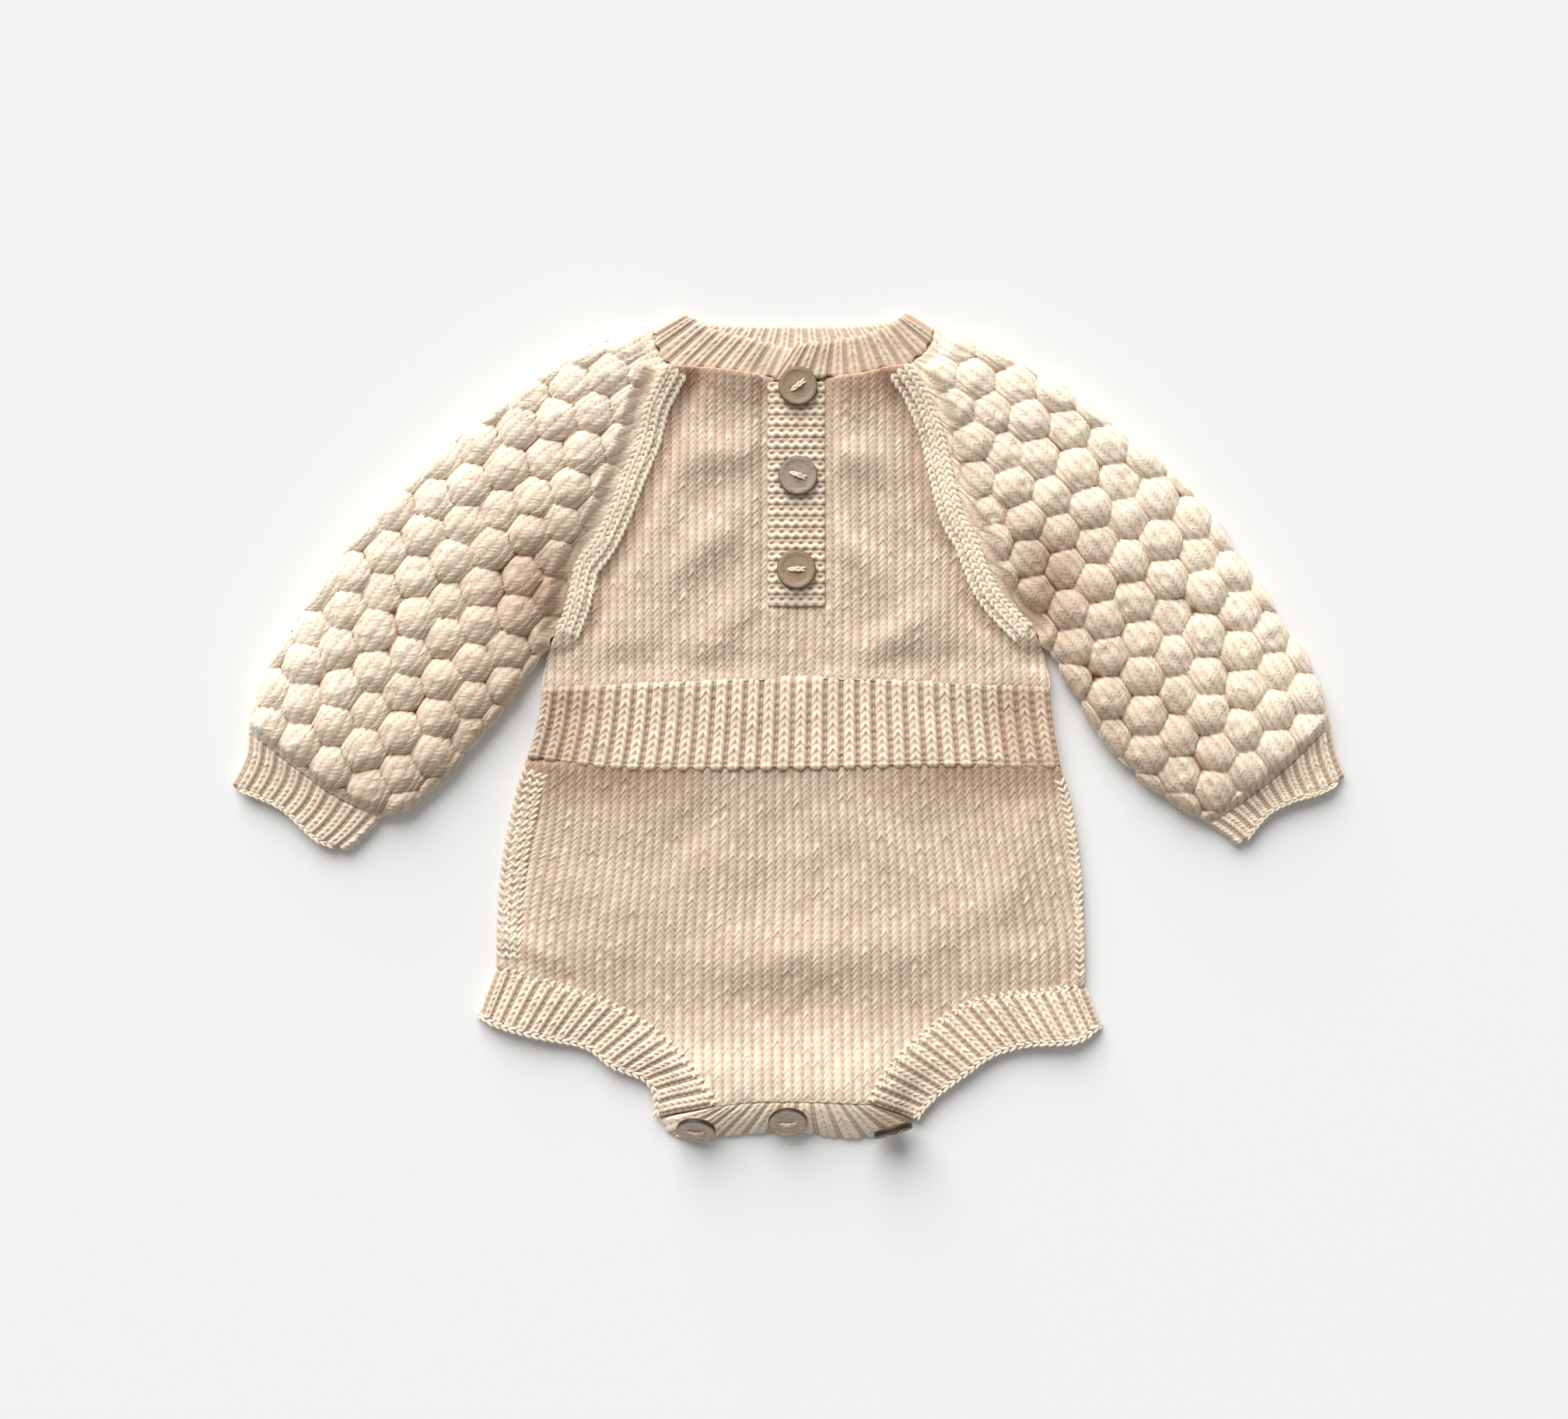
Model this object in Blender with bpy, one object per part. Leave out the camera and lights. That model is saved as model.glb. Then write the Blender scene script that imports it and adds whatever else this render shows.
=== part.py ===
"""Knitted baby romper for 3 to 6 months, lying flat on its back, in metres with +Z up.

Plain stockinette front and back, bubble-stitch raglan sleeves, ribbed neckband, waistband, cuffs and leg
bands, a garter-stitch placket with three buttons and a buttoned crotch. Each knitted piece is its own
closed solid with a wall of 2 to 3 mm. Pieces that meet at a seam stay 0.3 mm apart.
"""

import math

import bpy
import numpy as np
from mathutils import Vector
from mathutils.geometry import delaunay_2d_cdt

for old in list(bpy.data.objects):
    bpy.data.objects.remove(old, do_unlink=True)

# ---------------------------------------------------------------- driving sizes, in mm
MM = 0.001
GAP = 0.3  # between neighbouring pieces
BACK_WALL = 2.0  # wall of the back layer, which lies on the surface
WALL = 2.2  # wall of the front layer
LEVEL = BACK_WALL + GAP  # underside of the front layer where it lies on the back layer
RIB_PITCH = 7.5  # one knit and one purl stitch of the waistband
RIB_HEIGHT = 1.1
NECK_RIB_PITCH = 6.6
GARTER_PITCH = 5.0  # two rows of garter stitch
GARTER_HEIGHT = 0.8
BUBBLE_ACROSS = 17.9  # bubble to bubble round the sleeve
BUBBLE_ALONG = 15.9  # bubble row to bubble row down the sleeve
BUBBLE_HEIGHT = 4.2
BUTTON_WIDTH = 18.0
BUTTON_THICK = 3.0
BUTTON_HOLE = 2.2
MIDDLE = (0.55, -0.69, 0.0)  # middle of the outline in the coordinates below, placed at the origin

# ---------------------------------------------------------------- seam lines seen from above, (x, y) in mm
SEAMS = {
    "raglan_left": [(-54.7, 165.2), (-63.7, 148.3), (-68.4, 131.0), (-75.2, 115.2), (-80.3, 101.5),
                    (-88.6, 84.6), (-95.8, 75.6), (-98.6, 65.5), (-100.8, 55.8), (-105.5, 43.9)],
    "raglan_right": [(55.4, 165.6), (64.1, 151.9), (71.3, 133.9), (74.9, 117.7), (80.3, 97.2),
                     (86.4, 86.4), (90.7, 74.9), (96.1, 63.0), (102.6, 55.1), (112.3, 45.4)],
    "bodice_side_left": [(-105.5, 43.9), (-110.2, 31.7), (-112.7, 16.4)],
    "bodice_side_right": [(112.3, 45.4), (118.1, 33.1), (121.0, 17.0)],
    "waist_side_left": [(-112.7, 16.4), (-115.6, -0.8), (-120.0, -15.4)],
    "waist_side_right": [(121.0, 17.0), (122.7, 0.2), (126.2, -20.4)],
    "waist_top": [(-112.7, 16.4), (-83.5, 18.2), (-60.5, 19.2), (5.8, 22.0), (51.1, 20.5), (85.7, 18.7),
                  (121.0, 17.0)],
    "waist_low": [(-120.0, -15.4), (-97.9, -18.7), (-68.8, -21.2), (1.4, -21.2), (71.6, -19.8),
                  (103.7, -20.5), (126.2, -20.4)],
    "brief_side_left": [(-120.0, -15.4), (-125.3, -32.8), (-130.7, -58.3), (-133.2, -84.2), (-133.9, -112.0)],
    "brief_side_right": [(126.2, -20.4), (130.9, -36.0), (135.4, -66.2), (136.8, -91.8), (137.2, -120.6)],
    "leg_left": [(-133.9, -112.0), (-106.2, -120.2), (-83.2, -127.8), (-65.2, -138.2), (-49.7, -150.8),
                 (-39.2, -163.8), (-32.8, -174.2)],
    "leg_right": [(137.2, -120.6), (112.3, -123.8), (89.3, -126.7), (68.8, -138.2), (50.8, -153.7),
                  (42.0, -165.0), (37.8, -173.0)],
    "leg_edge_left": [(-142.2, -134.3), (-134.3, -138.2), (-116.3, -143.3), (-93.2, -148.3), (-80.3, -157.3),
                      (-65.2, -163.8), (-60.2, -172.7), (-60.4, -181.0)],
    "leg_edge_right": [(144.7, -139.3), (132.8, -145.8), (112.3, -147.2), (94.3, -152.3), (81.7, -161.3),
                       (71.3, -168.8), (63.5, -176.0), (59.5, -182.0)],
    "crotch_top": [(-32.8, -174.2), (-18.7, -172.3), (0.0, -172.0), (20.9, -172.3), (37.8, -173.0)],
    "crotch_edge": [(-60.4, -182.4), (-54.0, -190.6), (-40.3, -191.6), (-18.7, -189.8), (0.0, -189.0),
                    (13.7, -190.1), (28.1, -192.0), (38.9, -191.2), (50.5, -188.4), (59.5, -183.4)],
    "shoulder_left": [(-62.6, 181.6), (-81.7, 177.0), (-103.7, 168.0), (-122.0, 155.6), (-139.7, 142.6),
                      (-165.2, 121.6), (-191.2, 95.4), (-209.2, 74.0), (-222.0, 54.8), (-234.2, 36.2),
                      (-243.2, 18.4), (-248.2, -3.4)],
    "shoulder_right": [(69.0, 181.8), (86.0, 177.6), (104.0, 168.6), (122.0, 158.0), (143.3, 143.2),
                       (168.5, 124.6), (191.9, 101.2), (208.1, 77.8), (222.3, 57.0), (235.8, 35.8),
                       (245.0, 18.0), (250.6, -0.4)],
    "underarm_left": [(-105.5, 43.9), (-116.3, 28.1), (-131.8, 6.6), (-147.2, -11.4), (-160.2, -26.0),
                      (-173.5, -37.0), (-188.3, -42.5)],
    "underarm_right": [(112.3, 45.4), (121.7, 31.4), (135.7, 10.5), (145.8, -7.6), (159.5, -22.0),
                       (179.3, -35.9), (195.5, -45.4)],
    "wrist_left": [(-248.2, -3.4), (-229.0, -18.0), (-208.0, -33.0), (-188.3, -42.5)],
    "wrist_right": [(250.6, -0.4), (233.0, -17.5), (214.0, -33.0), (195.5, -45.4)],
    "cuff_edge_left": [(-256.7, -28.3), (-245.5, -32.4), (-232.2, -39.2), (-216.7, -53.0), (-205.2, -58.2)],
    "cuff_edge_right": [(257.8, -24.6), (247.7, -30.2), (233.3, -34.9), (220.7, -41.8), (208.8, -55.4)],
    "cuff_outer_left": [(-248.2, -3.4), (-249.7, -15.5), (-256.7, -28.3)],
    "cuff_outer_right": [(250.6, -0.4), (252.7, -11.9), (257.8, -24.6)],
    "cuff_inner_left": [(-188.3, -42.5), (-196.9, -51.6), (-205.2, -58.2)],
    "cuff_inner_right": [(195.5, -45.4), (202.3, -49.9), (208.8, -55.4)],
    "neck_seam_left": [(-62.6, 181.6), (-60.3, 173.0), (-54.7, 165.2)],
    "neck_seam_right": [(69.0, 181.8), (64.5, 172.8), (55.4, 165.6)],
    "neck_low_left": [(-54.7, 165.2), (-43.0, 164.8), (-26.3, 163.4), (-9.0, 160.4)],
    "neck_low_right": [(17.6, 159.8), (33.1, 161.6), (46.0, 164.6), (55.4, 165.6)],
    "neck_top_left": [(-47.2, 190.6), (-34.6, 183.2), (-17.3, 178.8), (0.0, 174.4), (15.0, 174.0)],
    "neck_top_right": [(4.6, 175.6), (20.9, 177.7), (37.1, 180.8), (48.0, 185.6), (54.7, 190.8)],
    "neck_top_back": [(-47.2, 190.6), (-38.0, 186.3), (-20.0, 185.0), (3.0, 184.9), (27.0, 185.0),
                      (44.0, 186.6), (54.7, 190.8)],
    "neck_low_back": [(-62.6, 181.6), (-59.6, 174.0), (-46.0, 171.4), (-24.0, 170.6), (3.0, 170.4),
                      (30.0, 170.6), (52.0, 171.4), (63.6, 174.0), (69.0, 181.8)],
}

# Soft folds of the front layer: each row is a ridge, or a hollow where the height is negative.
FOLDS = [
    # x, y, length, width, turn in degrees, height
    (-62.0, 100.0, 70.0, 13.0, 68.0, 0.9),
    (66.0, 96.0, 70.0, 12.0, -72.0, 0.8),
    (-36.0, 118.0, 40.0, 20.0, 80.0, 0.5),
    (42.0, 60.0, 46.0, 9.0, -28.0, 0.9),
    (70.0, 40.0, 40.0, 8.0, 40.0, 1.0),
    (-62.0, 46.0, 48.0, 10.0, 24.0, 0.8),
    (-20.0, 34.0, 60.0, 9.0, 6.0, 0.6),
    (-40.0, 88.0, 38.0, 9.0, -12.0, 0.6),
    (40.0, 96.0, 36.0, 10.0, 14.0, 0.5),
    (-94.0, 34.0, 40.0, 9.0, 70.0, 1.1),
    (102.0, 34.0, 34.0, 9.0, -66.0, 1.0),
    (-60.0, -62.0, 90.0, 16.0, -10.0, 0.9),
    (56.0, -70.0, 84.0, 15.0, 12.0, 0.9),
    (0.0, -104.0, 120.0, 18.0, 2.0, 0.8),
    (-92.0, -102.0, 50.0, 9.0, -22.0, 1.3),
    (104.0, -106.0, 44.0, 9.0, 12.0, 1.2),
    (34.0, -132.0, 44.0, 9.0, 26.0, 0.6),
    (-28.0, -136.0, 36.0, 9.0, -20.0, 0.6),
]


def smooth(t):
    """0 below t = 0, 1 above t = 1, with a soft start and end."""
    t = np.clip(t, 0.0, 1.0)
    return t * t * (3.0 - 2.0 * t)


def spline(points, count):
    """count points at equal distances along a smooth curve through the points."""
    p = np.asarray(points, float)
    p = np.vstack([2 * p[0] - p[1], p, 2 * p[-1] - p[-2]])
    t = np.linspace(0, 1, 25)[:-1, None]
    parts = []
    for k in range(1, len(p) - 2):
        a, b, c, d = p[k - 1], p[k], p[k + 1], p[k + 2]
        parts.append(0.5 * (2 * b + (c - a) * t + (2 * a - 5 * b + 4 * c - d) * t**2
                            + (3 * b - a - 3 * c + d) * t**3))
    dense = np.vstack(parts + [p[-2:-1]])
    run = np.concatenate([[0], np.cumsum(np.linalg.norm(np.diff(dense, axis=0), axis=1))])
    at = np.linspace(0, run[-1], count)
    return np.stack([np.interp(at, run, dense[:, 0]), np.interp(at, run, dense[:, 1])], 1)


def seam(name, step=6.0):
    """The named seam line as points about one step apart, the same for every piece that meets there."""
    rough = np.asarray(SEAMS[name])
    length = np.linalg.norm(np.diff(rough, axis=0), axis=1).sum()
    return spline(rough, max(2, int(round(length / step)) + 1))


def joined(*parts):
    """One closed outline from curves that follow each other, each without its last point."""
    return np.vstack([part[:-1] for part in parts])


def inset(ring, distance):
    """The closed outline with each point moved inward; distance is one number or one for each point."""
    ahead = np.roll(ring, -1, 0) - ring
    ahead /= np.linalg.norm(ahead, axis=1)[:, None]
    behind = np.roll(ahead, 1, 0)
    side = np.stack([-ahead[:, 1] - behind[:, 1], ahead[:, 0] + behind[:, 0]], 1)
    side /= np.linalg.norm(side, axis=1)[:, None]
    open_up = np.clip((side * np.stack([-ahead[:, 1], ahead[:, 0]], 1)).sum(1), 0.5, 1.0)
    return ring + side * (np.broadcast_to(distance, len(ring)) / open_up)[:, None]


def distance_to(path, x, y):
    """Distance in the plane from each (x, y) to an open path."""
    at = np.stack([np.asarray(x, float).ravel(), np.asarray(y, float).ravel()], 1)[:, None, :]
    a, b = path[None, :-1], path[None, 1:]
    along = np.clip(((at - a) * (b - a)).sum(2) / ((b - a) ** 2).sum(2), 0, 1)
    gap = np.linalg.norm(at - a - (b - a) * along[..., None], axis=2)
    return gap.min(1).reshape(np.shape(x))


def is_inside(ring, points):
    """True for each point inside the closed outline."""
    a, b = ring, np.roll(ring, -1, 0)
    x, y = points[:, :1], points[:, 1:]
    crosses = (a[:, 1] > y) != (b[:, 1] > y)
    rise = np.where(np.abs(b[:, 1] - a[:, 1]) < 1e-9, 1e-9, b[:, 1] - a[:, 1])
    left_of = x < a[:, 0] + (b[:, 0] - a[:, 0]) * (y - a[:, 1]) / rise
    return (crosses & left_of).sum(1) % 2 == 1


def fill_points(ring, step, margin=0.55):
    """Points of a triangular grid inside the outline, none nearer to it than margin steps."""
    low, high = ring.min(0), ring.max(0)
    rows = np.arange(low[1], high[1], step * 0.87)
    grid = [np.stack([np.arange(low[0] + (k % 2) * step / 2, high[0], step),
                      np.full(len(np.arange(low[0] + (k % 2) * step / 2, high[0], step)), y)], 1)
            for k, y in enumerate(rows)]
    grid = np.vstack(grid)
    grid = grid[is_inside(ring, grid)]
    closed = np.vstack([ring, ring[:1]])
    return grid[distance_to(closed, grid[:, 0], grid[:, 1]) > margin * step]


def triangles(ring, inner, holes=()):
    """Triangles that fill the outline, use the inner points and leave out the holes.

    Indices count the ring first, then the inner points, then each hole.
    """
    loops = [ring, *holes]
    first_of = [0, *(len(ring) + len(inner) + sum(len(h) for h in holes[:k]) for k in range(len(holes)))]
    together = np.vstack([ring, np.reshape(inner, (-1, 2)), *holes])
    points = [Vector((float(p[0]), float(p[1]))) for p in together]
    edges = [(start + k, start + (k + 1) % len(loop))
             for loop, start in zip(loops, first_of) for k in range(len(loop))]
    result = delaunay_2d_cdt(points, edges, [], 1, 1e-7)
    first = [sources[0] for sources in result[3]]
    corners = np.array([[first[k] for k in face] for face in result[2]])
    a, b, c = (np.array([[p.x, p.y] for p in points])[corners[:, k]] for k in range(3))
    turned = (b - a)[:, 0] * (c - a)[:, 1] - (b - a)[:, 1] * (c - a)[:, 0] < 0
    corners[turned] = corners[turned][:, ::-1]
    for hole in holes:
        corners = corners[~is_inside(hole, together[corners].mean(1))]
    return corners


def material(name, colour, roughness):
    """A plain Principled material."""
    made = bpy.data.materials.new(name)
    made.use_nodes = True
    shader = made.node_tree.nodes["Principled BSDF"]
    shader.inputs["Base Color"].default_value = (*colour, 1.0)
    shader.inputs["Roughness"].default_value = roughness
    shader.inputs["Metallic"].default_value = 0.0
    return made


COTTON = material("cream_cotton_knit", (0.78, 0.66, 0.51), 0.9)
COCONUT = material("coconut_shell", (0.30, 0.21, 0.15), 0.55)


def add_node(name, points, faces, look):
    """One named mesh object from points in mm and faces."""
    mesh = bpy.data.meshes.new(name)
    mesh.from_pydata(((np.asarray(points) - MIDDLE) * MM).tolist(), [], [list(map(int, face)) for face in faces])
    mesh.materials.append(look)
    mesh.validate()
    made = bpy.data.objects.new(name, mesh)
    bpy.context.scene.collection.objects.link(made)
    return made


def lift(plan, z):
    """Plan points with their heights as a third column."""
    return np.column_stack([plan, np.broadcast_to(z, len(plan))])


def flat_panel(name, outline, top, low, step, low_step=60.0, edge=0.9):
    """A panel of cloth from its outline: top and low give the two faces' heights at any (x, y).

    The rim is rounded: it is widest halfway up and drawn in by edge above.
    """
    ring = inset(outline, GAP / 2)
    n = len(ring)
    upper, under = inset(ring, edge), inset(ring, 0.2)
    upper_fill, under_fill = fill_points(upper, step), fill_points(under, low_step)
    z_up, z_low = top(*upper.T), low(*ring.T)
    points = np.vstack([
        lift(upper, z_up), lift(ring, 0.45 * top(*ring.T) + 0.55 * z_low), lift(under, low(*under.T)),
        lift(upper_fill, top(*upper_fill.T)), lift(under_fill, low(*under_fill.T))])
    k = np.arange(n)
    after = (k + 1) % n
    faces = [*np.stack([k + n, after + n, after, k], 1), *np.stack([k + 2 * n, after + 2 * n, after + n, k + n], 1)]
    over = triangles(upper, upper_fill)
    faces += list(np.where(over < n, over, over + 2 * n))
    below = triangles(under, under_fill)[:, ::-1]
    faces += list(np.where(below < n, below + 2 * n, below + 2 * n + len(upper_fill)))
    return add_node(name, points, faces, COTTON)


def grid_faces(rows, columns, first=0, wrap=False):
    """Quads of a grid of points stored row by row."""
    i, j = np.meshgrid(np.arange(rows - 1), np.arange(columns if wrap else columns - 1), indexing="ij")
    a = first + i * columns + j
    b = first + i * columns + (j + 1) % columns
    return np.stack([a, b, b + columns, a + columns], -1).reshape(-1, 4)


def strip(name, outer, inner, keep=4, also=()):
    """A sheet between two grids of points with the same rim.

    The plain inner side keeps every keep-th column of its grid and the columns listed in also.
    """
    rows, columns = outer.shape[:2]
    i, j = np.meshgrid(np.arange(rows), np.arange(columns), indexing="ij")
    index = i * columns + j
    rim = np.concatenate([index[0, :-1], index[:-1, -1], index[-1, :0:-1], index[:0:-1, 0]])
    kept = (np.arange(1, columns - 1) % keep == 0) | np.isin(np.arange(1, columns - 1), also)
    inside = index[1:-1, 1:-1][:, kept].ravel()
    where = np.stack([j.ravel(), i.ravel()], 1).astype(float)
    used = np.concatenate([rim, inside])
    back = triangles(where[rim], where[inside])
    points = np.vstack([outer.reshape(-1, 3), inner.reshape(-1, 3)[used]])
    first = rows * columns
    around = np.arange(len(rim))
    after = (around + 1) % len(rim)
    faces = [*grid_faces(rows, columns)]
    faces += list(back[:, ::-1] + first)
    faces += list(np.stack([rim[around], first + around, first + after, rim[after]], 1))
    made = add_node(name, points, faces, COTTON)
    made.data.update()
    return made


def tube(name, outer, inner):
    """A tube with a wall: two grids that close along their columns, joined at both ends."""
    rows, columns = outer.shape[:2]
    first = rows * columns
    faces = [*grid_faces(rows, columns, 0, True), *grid_faces(rows, columns, first, True)[:, ::-1]]
    j = np.arange(columns)
    after = (j + 1) % columns
    last = (rows - 1) * columns
    faces += list(np.stack([j, first + j, first + after, after], 1))
    faces += list(np.stack([last + after, first + last + after, first + last + j, last + j], 1))
    return add_node(name, np.vstack([outer.reshape(-1, 3), inner.reshape(-1, 3)]), faces, COTTON)


def face_out(made):
    """Turns every face when the closed mesh would otherwise be inside out."""
    mesh = made.data
    mesh.calc_loop_triangles()
    points = np.array([v.co[:] for v in mesh.vertices])
    tri = np.array([t.vertices[:] for t in mesh.loop_triangles])
    a, b, c = points[tri[:, 0]], points[tri[:, 1]], points[tri[:, 2]]
    if np.einsum("ij,ij->i", a, np.cross(b, c)).sum() < 0:
        mesh.flip_normals()
    return made


def patch(low, high, left, right, rows, columns):
    """Points of a four-sided patch, row 0 on low and the last row on high, between the side curves."""
    u, v = np.linspace(0, 1, columns)[None, :, None], np.linspace(0, 1, rows)[:, None, None]
    bottom, top = spline(low, columns)[None], spline(high, columns)[None]
    west, east = spline(left, rows)[:, None], spline(right, rows)[:, None]
    corners = ((1 - u) * (1 - v) * bottom[:, :1] + u * (1 - v) * bottom[:, -1:]
               + (1 - u) * v * top[:, :1] + u * v * top[:, -1:])
    return (1 - v) * bottom + v * top + (1 - u) * west + u * east - corners


# ---------------------------------------------------------------- the front layer's height
def folds(x, y):
    """Height of the soft folds, never below the layer's level."""
    total = np.zeros(np.shape(x))
    for cx, cy, length, width, turn, height in FOLDS:
        c, s = math.cos(math.radians(turn)), math.sin(math.radians(turn))
        along, across = (x - cx) * c + (y - cy) * s, (y - cy) * c - (x - cx) * s
        total = total + height * np.exp(-(2 * along / length) ** 2 - (across / width) ** 2)
    return total


def crotch_rise(x, y):
    """Height of the bulge that ends in the buttoned crotch."""
    slope = smooth((-128.0 - y) / 42.0)
    return (7.6 + 1.6 * smooth((np.abs(x - 2.0) - 14.0) / 26.0)) * slope * np.exp(-((x - 2.0) / 66.0) ** 4)


def front_low(x, y):
    """Underside of the front layer."""
    return LEVEL + folds(x, y) + crotch_rise(x, y)


def front_top(x, y):
    """Outside of the front layer."""
    return front_low(x, y) + WALL


def back_top(x, y):
    return np.full(np.shape(x), BACK_WALL)


def floor(x, y):
    return np.zeros(np.shape(x))


# ---------------------------------------------------------------- bodice
NOTCH_LEFT, NOTCH_RIGHT, NOTCH_LOW = -6.4, 15.4, 57.4
notch_right = np.array([(17.6, 159.8), (NOTCH_RIGHT, 157.0), (NOTCH_RIGHT, 107.0), (NOTCH_RIGHT, NOTCH_LOW)])
notch_low = np.array([(NOTCH_RIGHT, NOTCH_LOW), (4.5, NOTCH_LOW), (NOTCH_LEFT, NOTCH_LOW)])
notch_left = np.array([(NOTCH_LEFT, NOTCH_LOW), (NOTCH_LEFT, 107.0), (NOTCH_LEFT, 157.0), (-9.0, 160.4)])


def bodice_low(x, y):
    """The bodice lies flat under the placket and rises in soft folds beside it."""
    beside = smooth((np.abs(x - 4.5) - 13.5) / 14.0)
    below = smooth((NOTCH_LOW - 3.0 - y) / 12.0)
    return LEVEL + folds(x, y) * np.maximum(beside, below)


bodice_outline = joined(
    seam("raglan_left"), seam("bodice_side_left"), seam("waist_top", 8.0), seam("bodice_side_right")[::-1],
    seam("raglan_right")[::-1], seam("neck_low_right")[::-1], notch_right, notch_low, notch_left,
    seam("neck_low_left")[::-1])
flat_panel("front_bodice", bodice_outline, lambda x, y: bodice_low(x, y) + WALL, bodice_low, 13.0, 30.0)

back_outline = joined(
    seam("raglan_left"), seam("bodice_side_left", 9.0), seam("waist_top", 14.0),
    seam("bodice_side_right", 9.0)[::-1], seam("raglan_right")[::-1],
    spline([(55.4, 165.6), (60.6, 169.6), (63.4, 173.2)], 3),
    spline([(63.4, 173.2), *SEAMS["neck_low_back"][2:-2][::-1], (-59.4, 173.2)], 14),
    spline([(-59.4, 173.2), (-58.2, 169.6), (-54.7, 165.2)], 3))
flat_panel("back_bodice", back_outline, back_top, floor, 40.0)


# ---------------------------------------------------------------- waistband
def ribs(count, per_rib=4):
    """Height of the ribs along a band, from 0 in the purl columns to 1 on the knit columns."""
    return 0.5 - 0.5 * np.cos(2 * np.pi * np.arange(count * per_rib + 1) / per_rib)


def raised(plan, z):
    return np.concatenate([plan, np.broadcast_to(z, plan.shape[:2])[..., None]], 2)


WAIST_RIBS = round(240.0 / RIB_PITCH)
waist_lap = [(x, y - 0.2) for x, y in SEAMS["waist_low"]]
waist_plan = patch(waist_lap, SEAMS["waist_top"], SEAMS["waist_side_left"][::-1],
                   SEAMS["waist_side_right"][::-1], 4, WAIST_RIBS * 3 + 1)
waist_plan[:, :, 0] *= 0.998
waist_plan[-1, :, 1] -= GAP / 2
rise = np.array([2.75, 1.7, 0.6, 0.1])[:, None]
waist_in = LEVEL + rise + folds(waist_plan[..., 0], waist_plan[..., 1]) * 0.5
edge_fall = np.array([0.55, 1.0, 1.0, 0.45])[:, None]
waist_out = waist_in + 1.7 + (0.4 + RIB_HEIGHT * ribs(WAIST_RIBS, 3)[None]) * edge_fall
face_out(strip("waistband_front", raised(waist_plan, waist_out), raised(waist_plan, waist_in)))

waist_back_outline = joined(
    seam("waist_side_left", 9.0), seam("waist_low", 14.0), seam("waist_side_right", 9.0)[::-1],
    seam("waist_top", 14.0)[::-1])
flat_panel("waistband_back", waist_back_outline, back_top, floor, 60.0)

# ---------------------------------------------------------------- brief
brief_top = spline([(x * 0.994, y + 2.6) for x, y in SEAMS["waist_low"]], 22)
brief_outline = joined(
    np.vstack([brief_top[:1], seam("brief_side_left", 9.0)[1:]]), seam("leg_left", 7.0), seam("crotch_top", 9.0),
    seam("leg_right", 7.0)[::-1], np.vstack([seam("brief_side_right", 9.0)[:0:-1], brief_top[-1:]]),
    brief_top[::-1])


def brief_low(x, y):
    """The brief lies flat where the waistband laps over it."""
    return LEVEL + folds(x, y) * smooth((-24.0 - y) / 16.0) + crotch_rise(x, y)


flat_panel("front_brief", brief_outline, lambda x, y: brief_low(x, y) + WALL, brief_low, 14.5, 30.0)

back_crotch = spline([(-32.8, -174.2), (-29.0, -177.8), (-14.0, -178.8), (2.0, -178.8), (20.0, -178.8),
                      (34.0, -177.6), (37.8, -173.0)], 12)
back_brief_outline = joined(
    seam("brief_side_left", 10.0), seam("leg_left", 7.0), back_crotch, seam("leg_right", 7.0)[::-1],
    seam("brief_side_right", 10.0)[::-1], seam("waist_low", 16.0)[::-1])
flat_panel("back_brief", back_brief_outline, back_top, floor, 60.0)

# ---------------------------------------------------------------- sleeves
# The line that the bubble columns of each sleeve follow, from the neck to the wrist.
SLEEVE_AXIS = {
    "left": [(-55.4, 177.1), (-85.3, 156.6), (-112.3, 133.2), (-137.2, 107.3), (-160.2, 79.6), (-182.2, 51.1),
             (-202.7, 21.6), (-222.5, -8.3), (-242.0, -38.0)],
    "right": [(61.0, 177.1), (90.5, 157.6), (117.6, 134.6), (142.4, 108.7), (164.9, 80.8), (185.8, 51.8),
              (205.4, 22.0), (224.3, -7.9), (242.6, -37.6)],
}
FOLD_LEVEL = 4.2  # height of the widest line of a sleeve's folded edges


def sleeve_frame(side, x, y):
    """(distance down the sleeve's axis, distance across it) of each point."""
    path = spline(SLEEVE_AXIS[side], 90)
    run = np.concatenate([[0], np.cumsum(np.linalg.norm(np.diff(path, axis=0), axis=1))])
    at = np.stack([np.ravel(x), np.ravel(y)], 1)[:, None, :]
    a, step = path[None, :-1], np.diff(path, axis=0)[None]
    length = np.linalg.norm(step, axis=2)
    t = ((at - a) * step).sum(2) / length**2
    held = np.clip(t, 0, 1)
    off = at - a - step * held[..., None]
    best = np.argmin((off**2).sum(2), 1)
    k = np.arange(len(best))
    down = run[best] + held[k, best] * length[0, best]
    across = (step[0, best, 0] * off[k, best, 1] - step[0, best, 1] * off[k, best, 0]) / length[0, best]
    return down.reshape(np.shape(x)), across.reshape(np.shape(x))


def bubbles(down, across):
    """Height of the bubble stitch from 0 to 1: round pillows in staggered rows with a pit at each corner."""
    p, q = 2 * np.pi * across / BUBBLE_ACROSS, np.pi * down / BUBBLE_ALONG
    six = (np.cos(2 * q) + 2 * np.cos(q) * np.cos(p)) / 3
    return np.sqrt(np.clip((six + 0.5) / 1.5, 0, 1))


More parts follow.
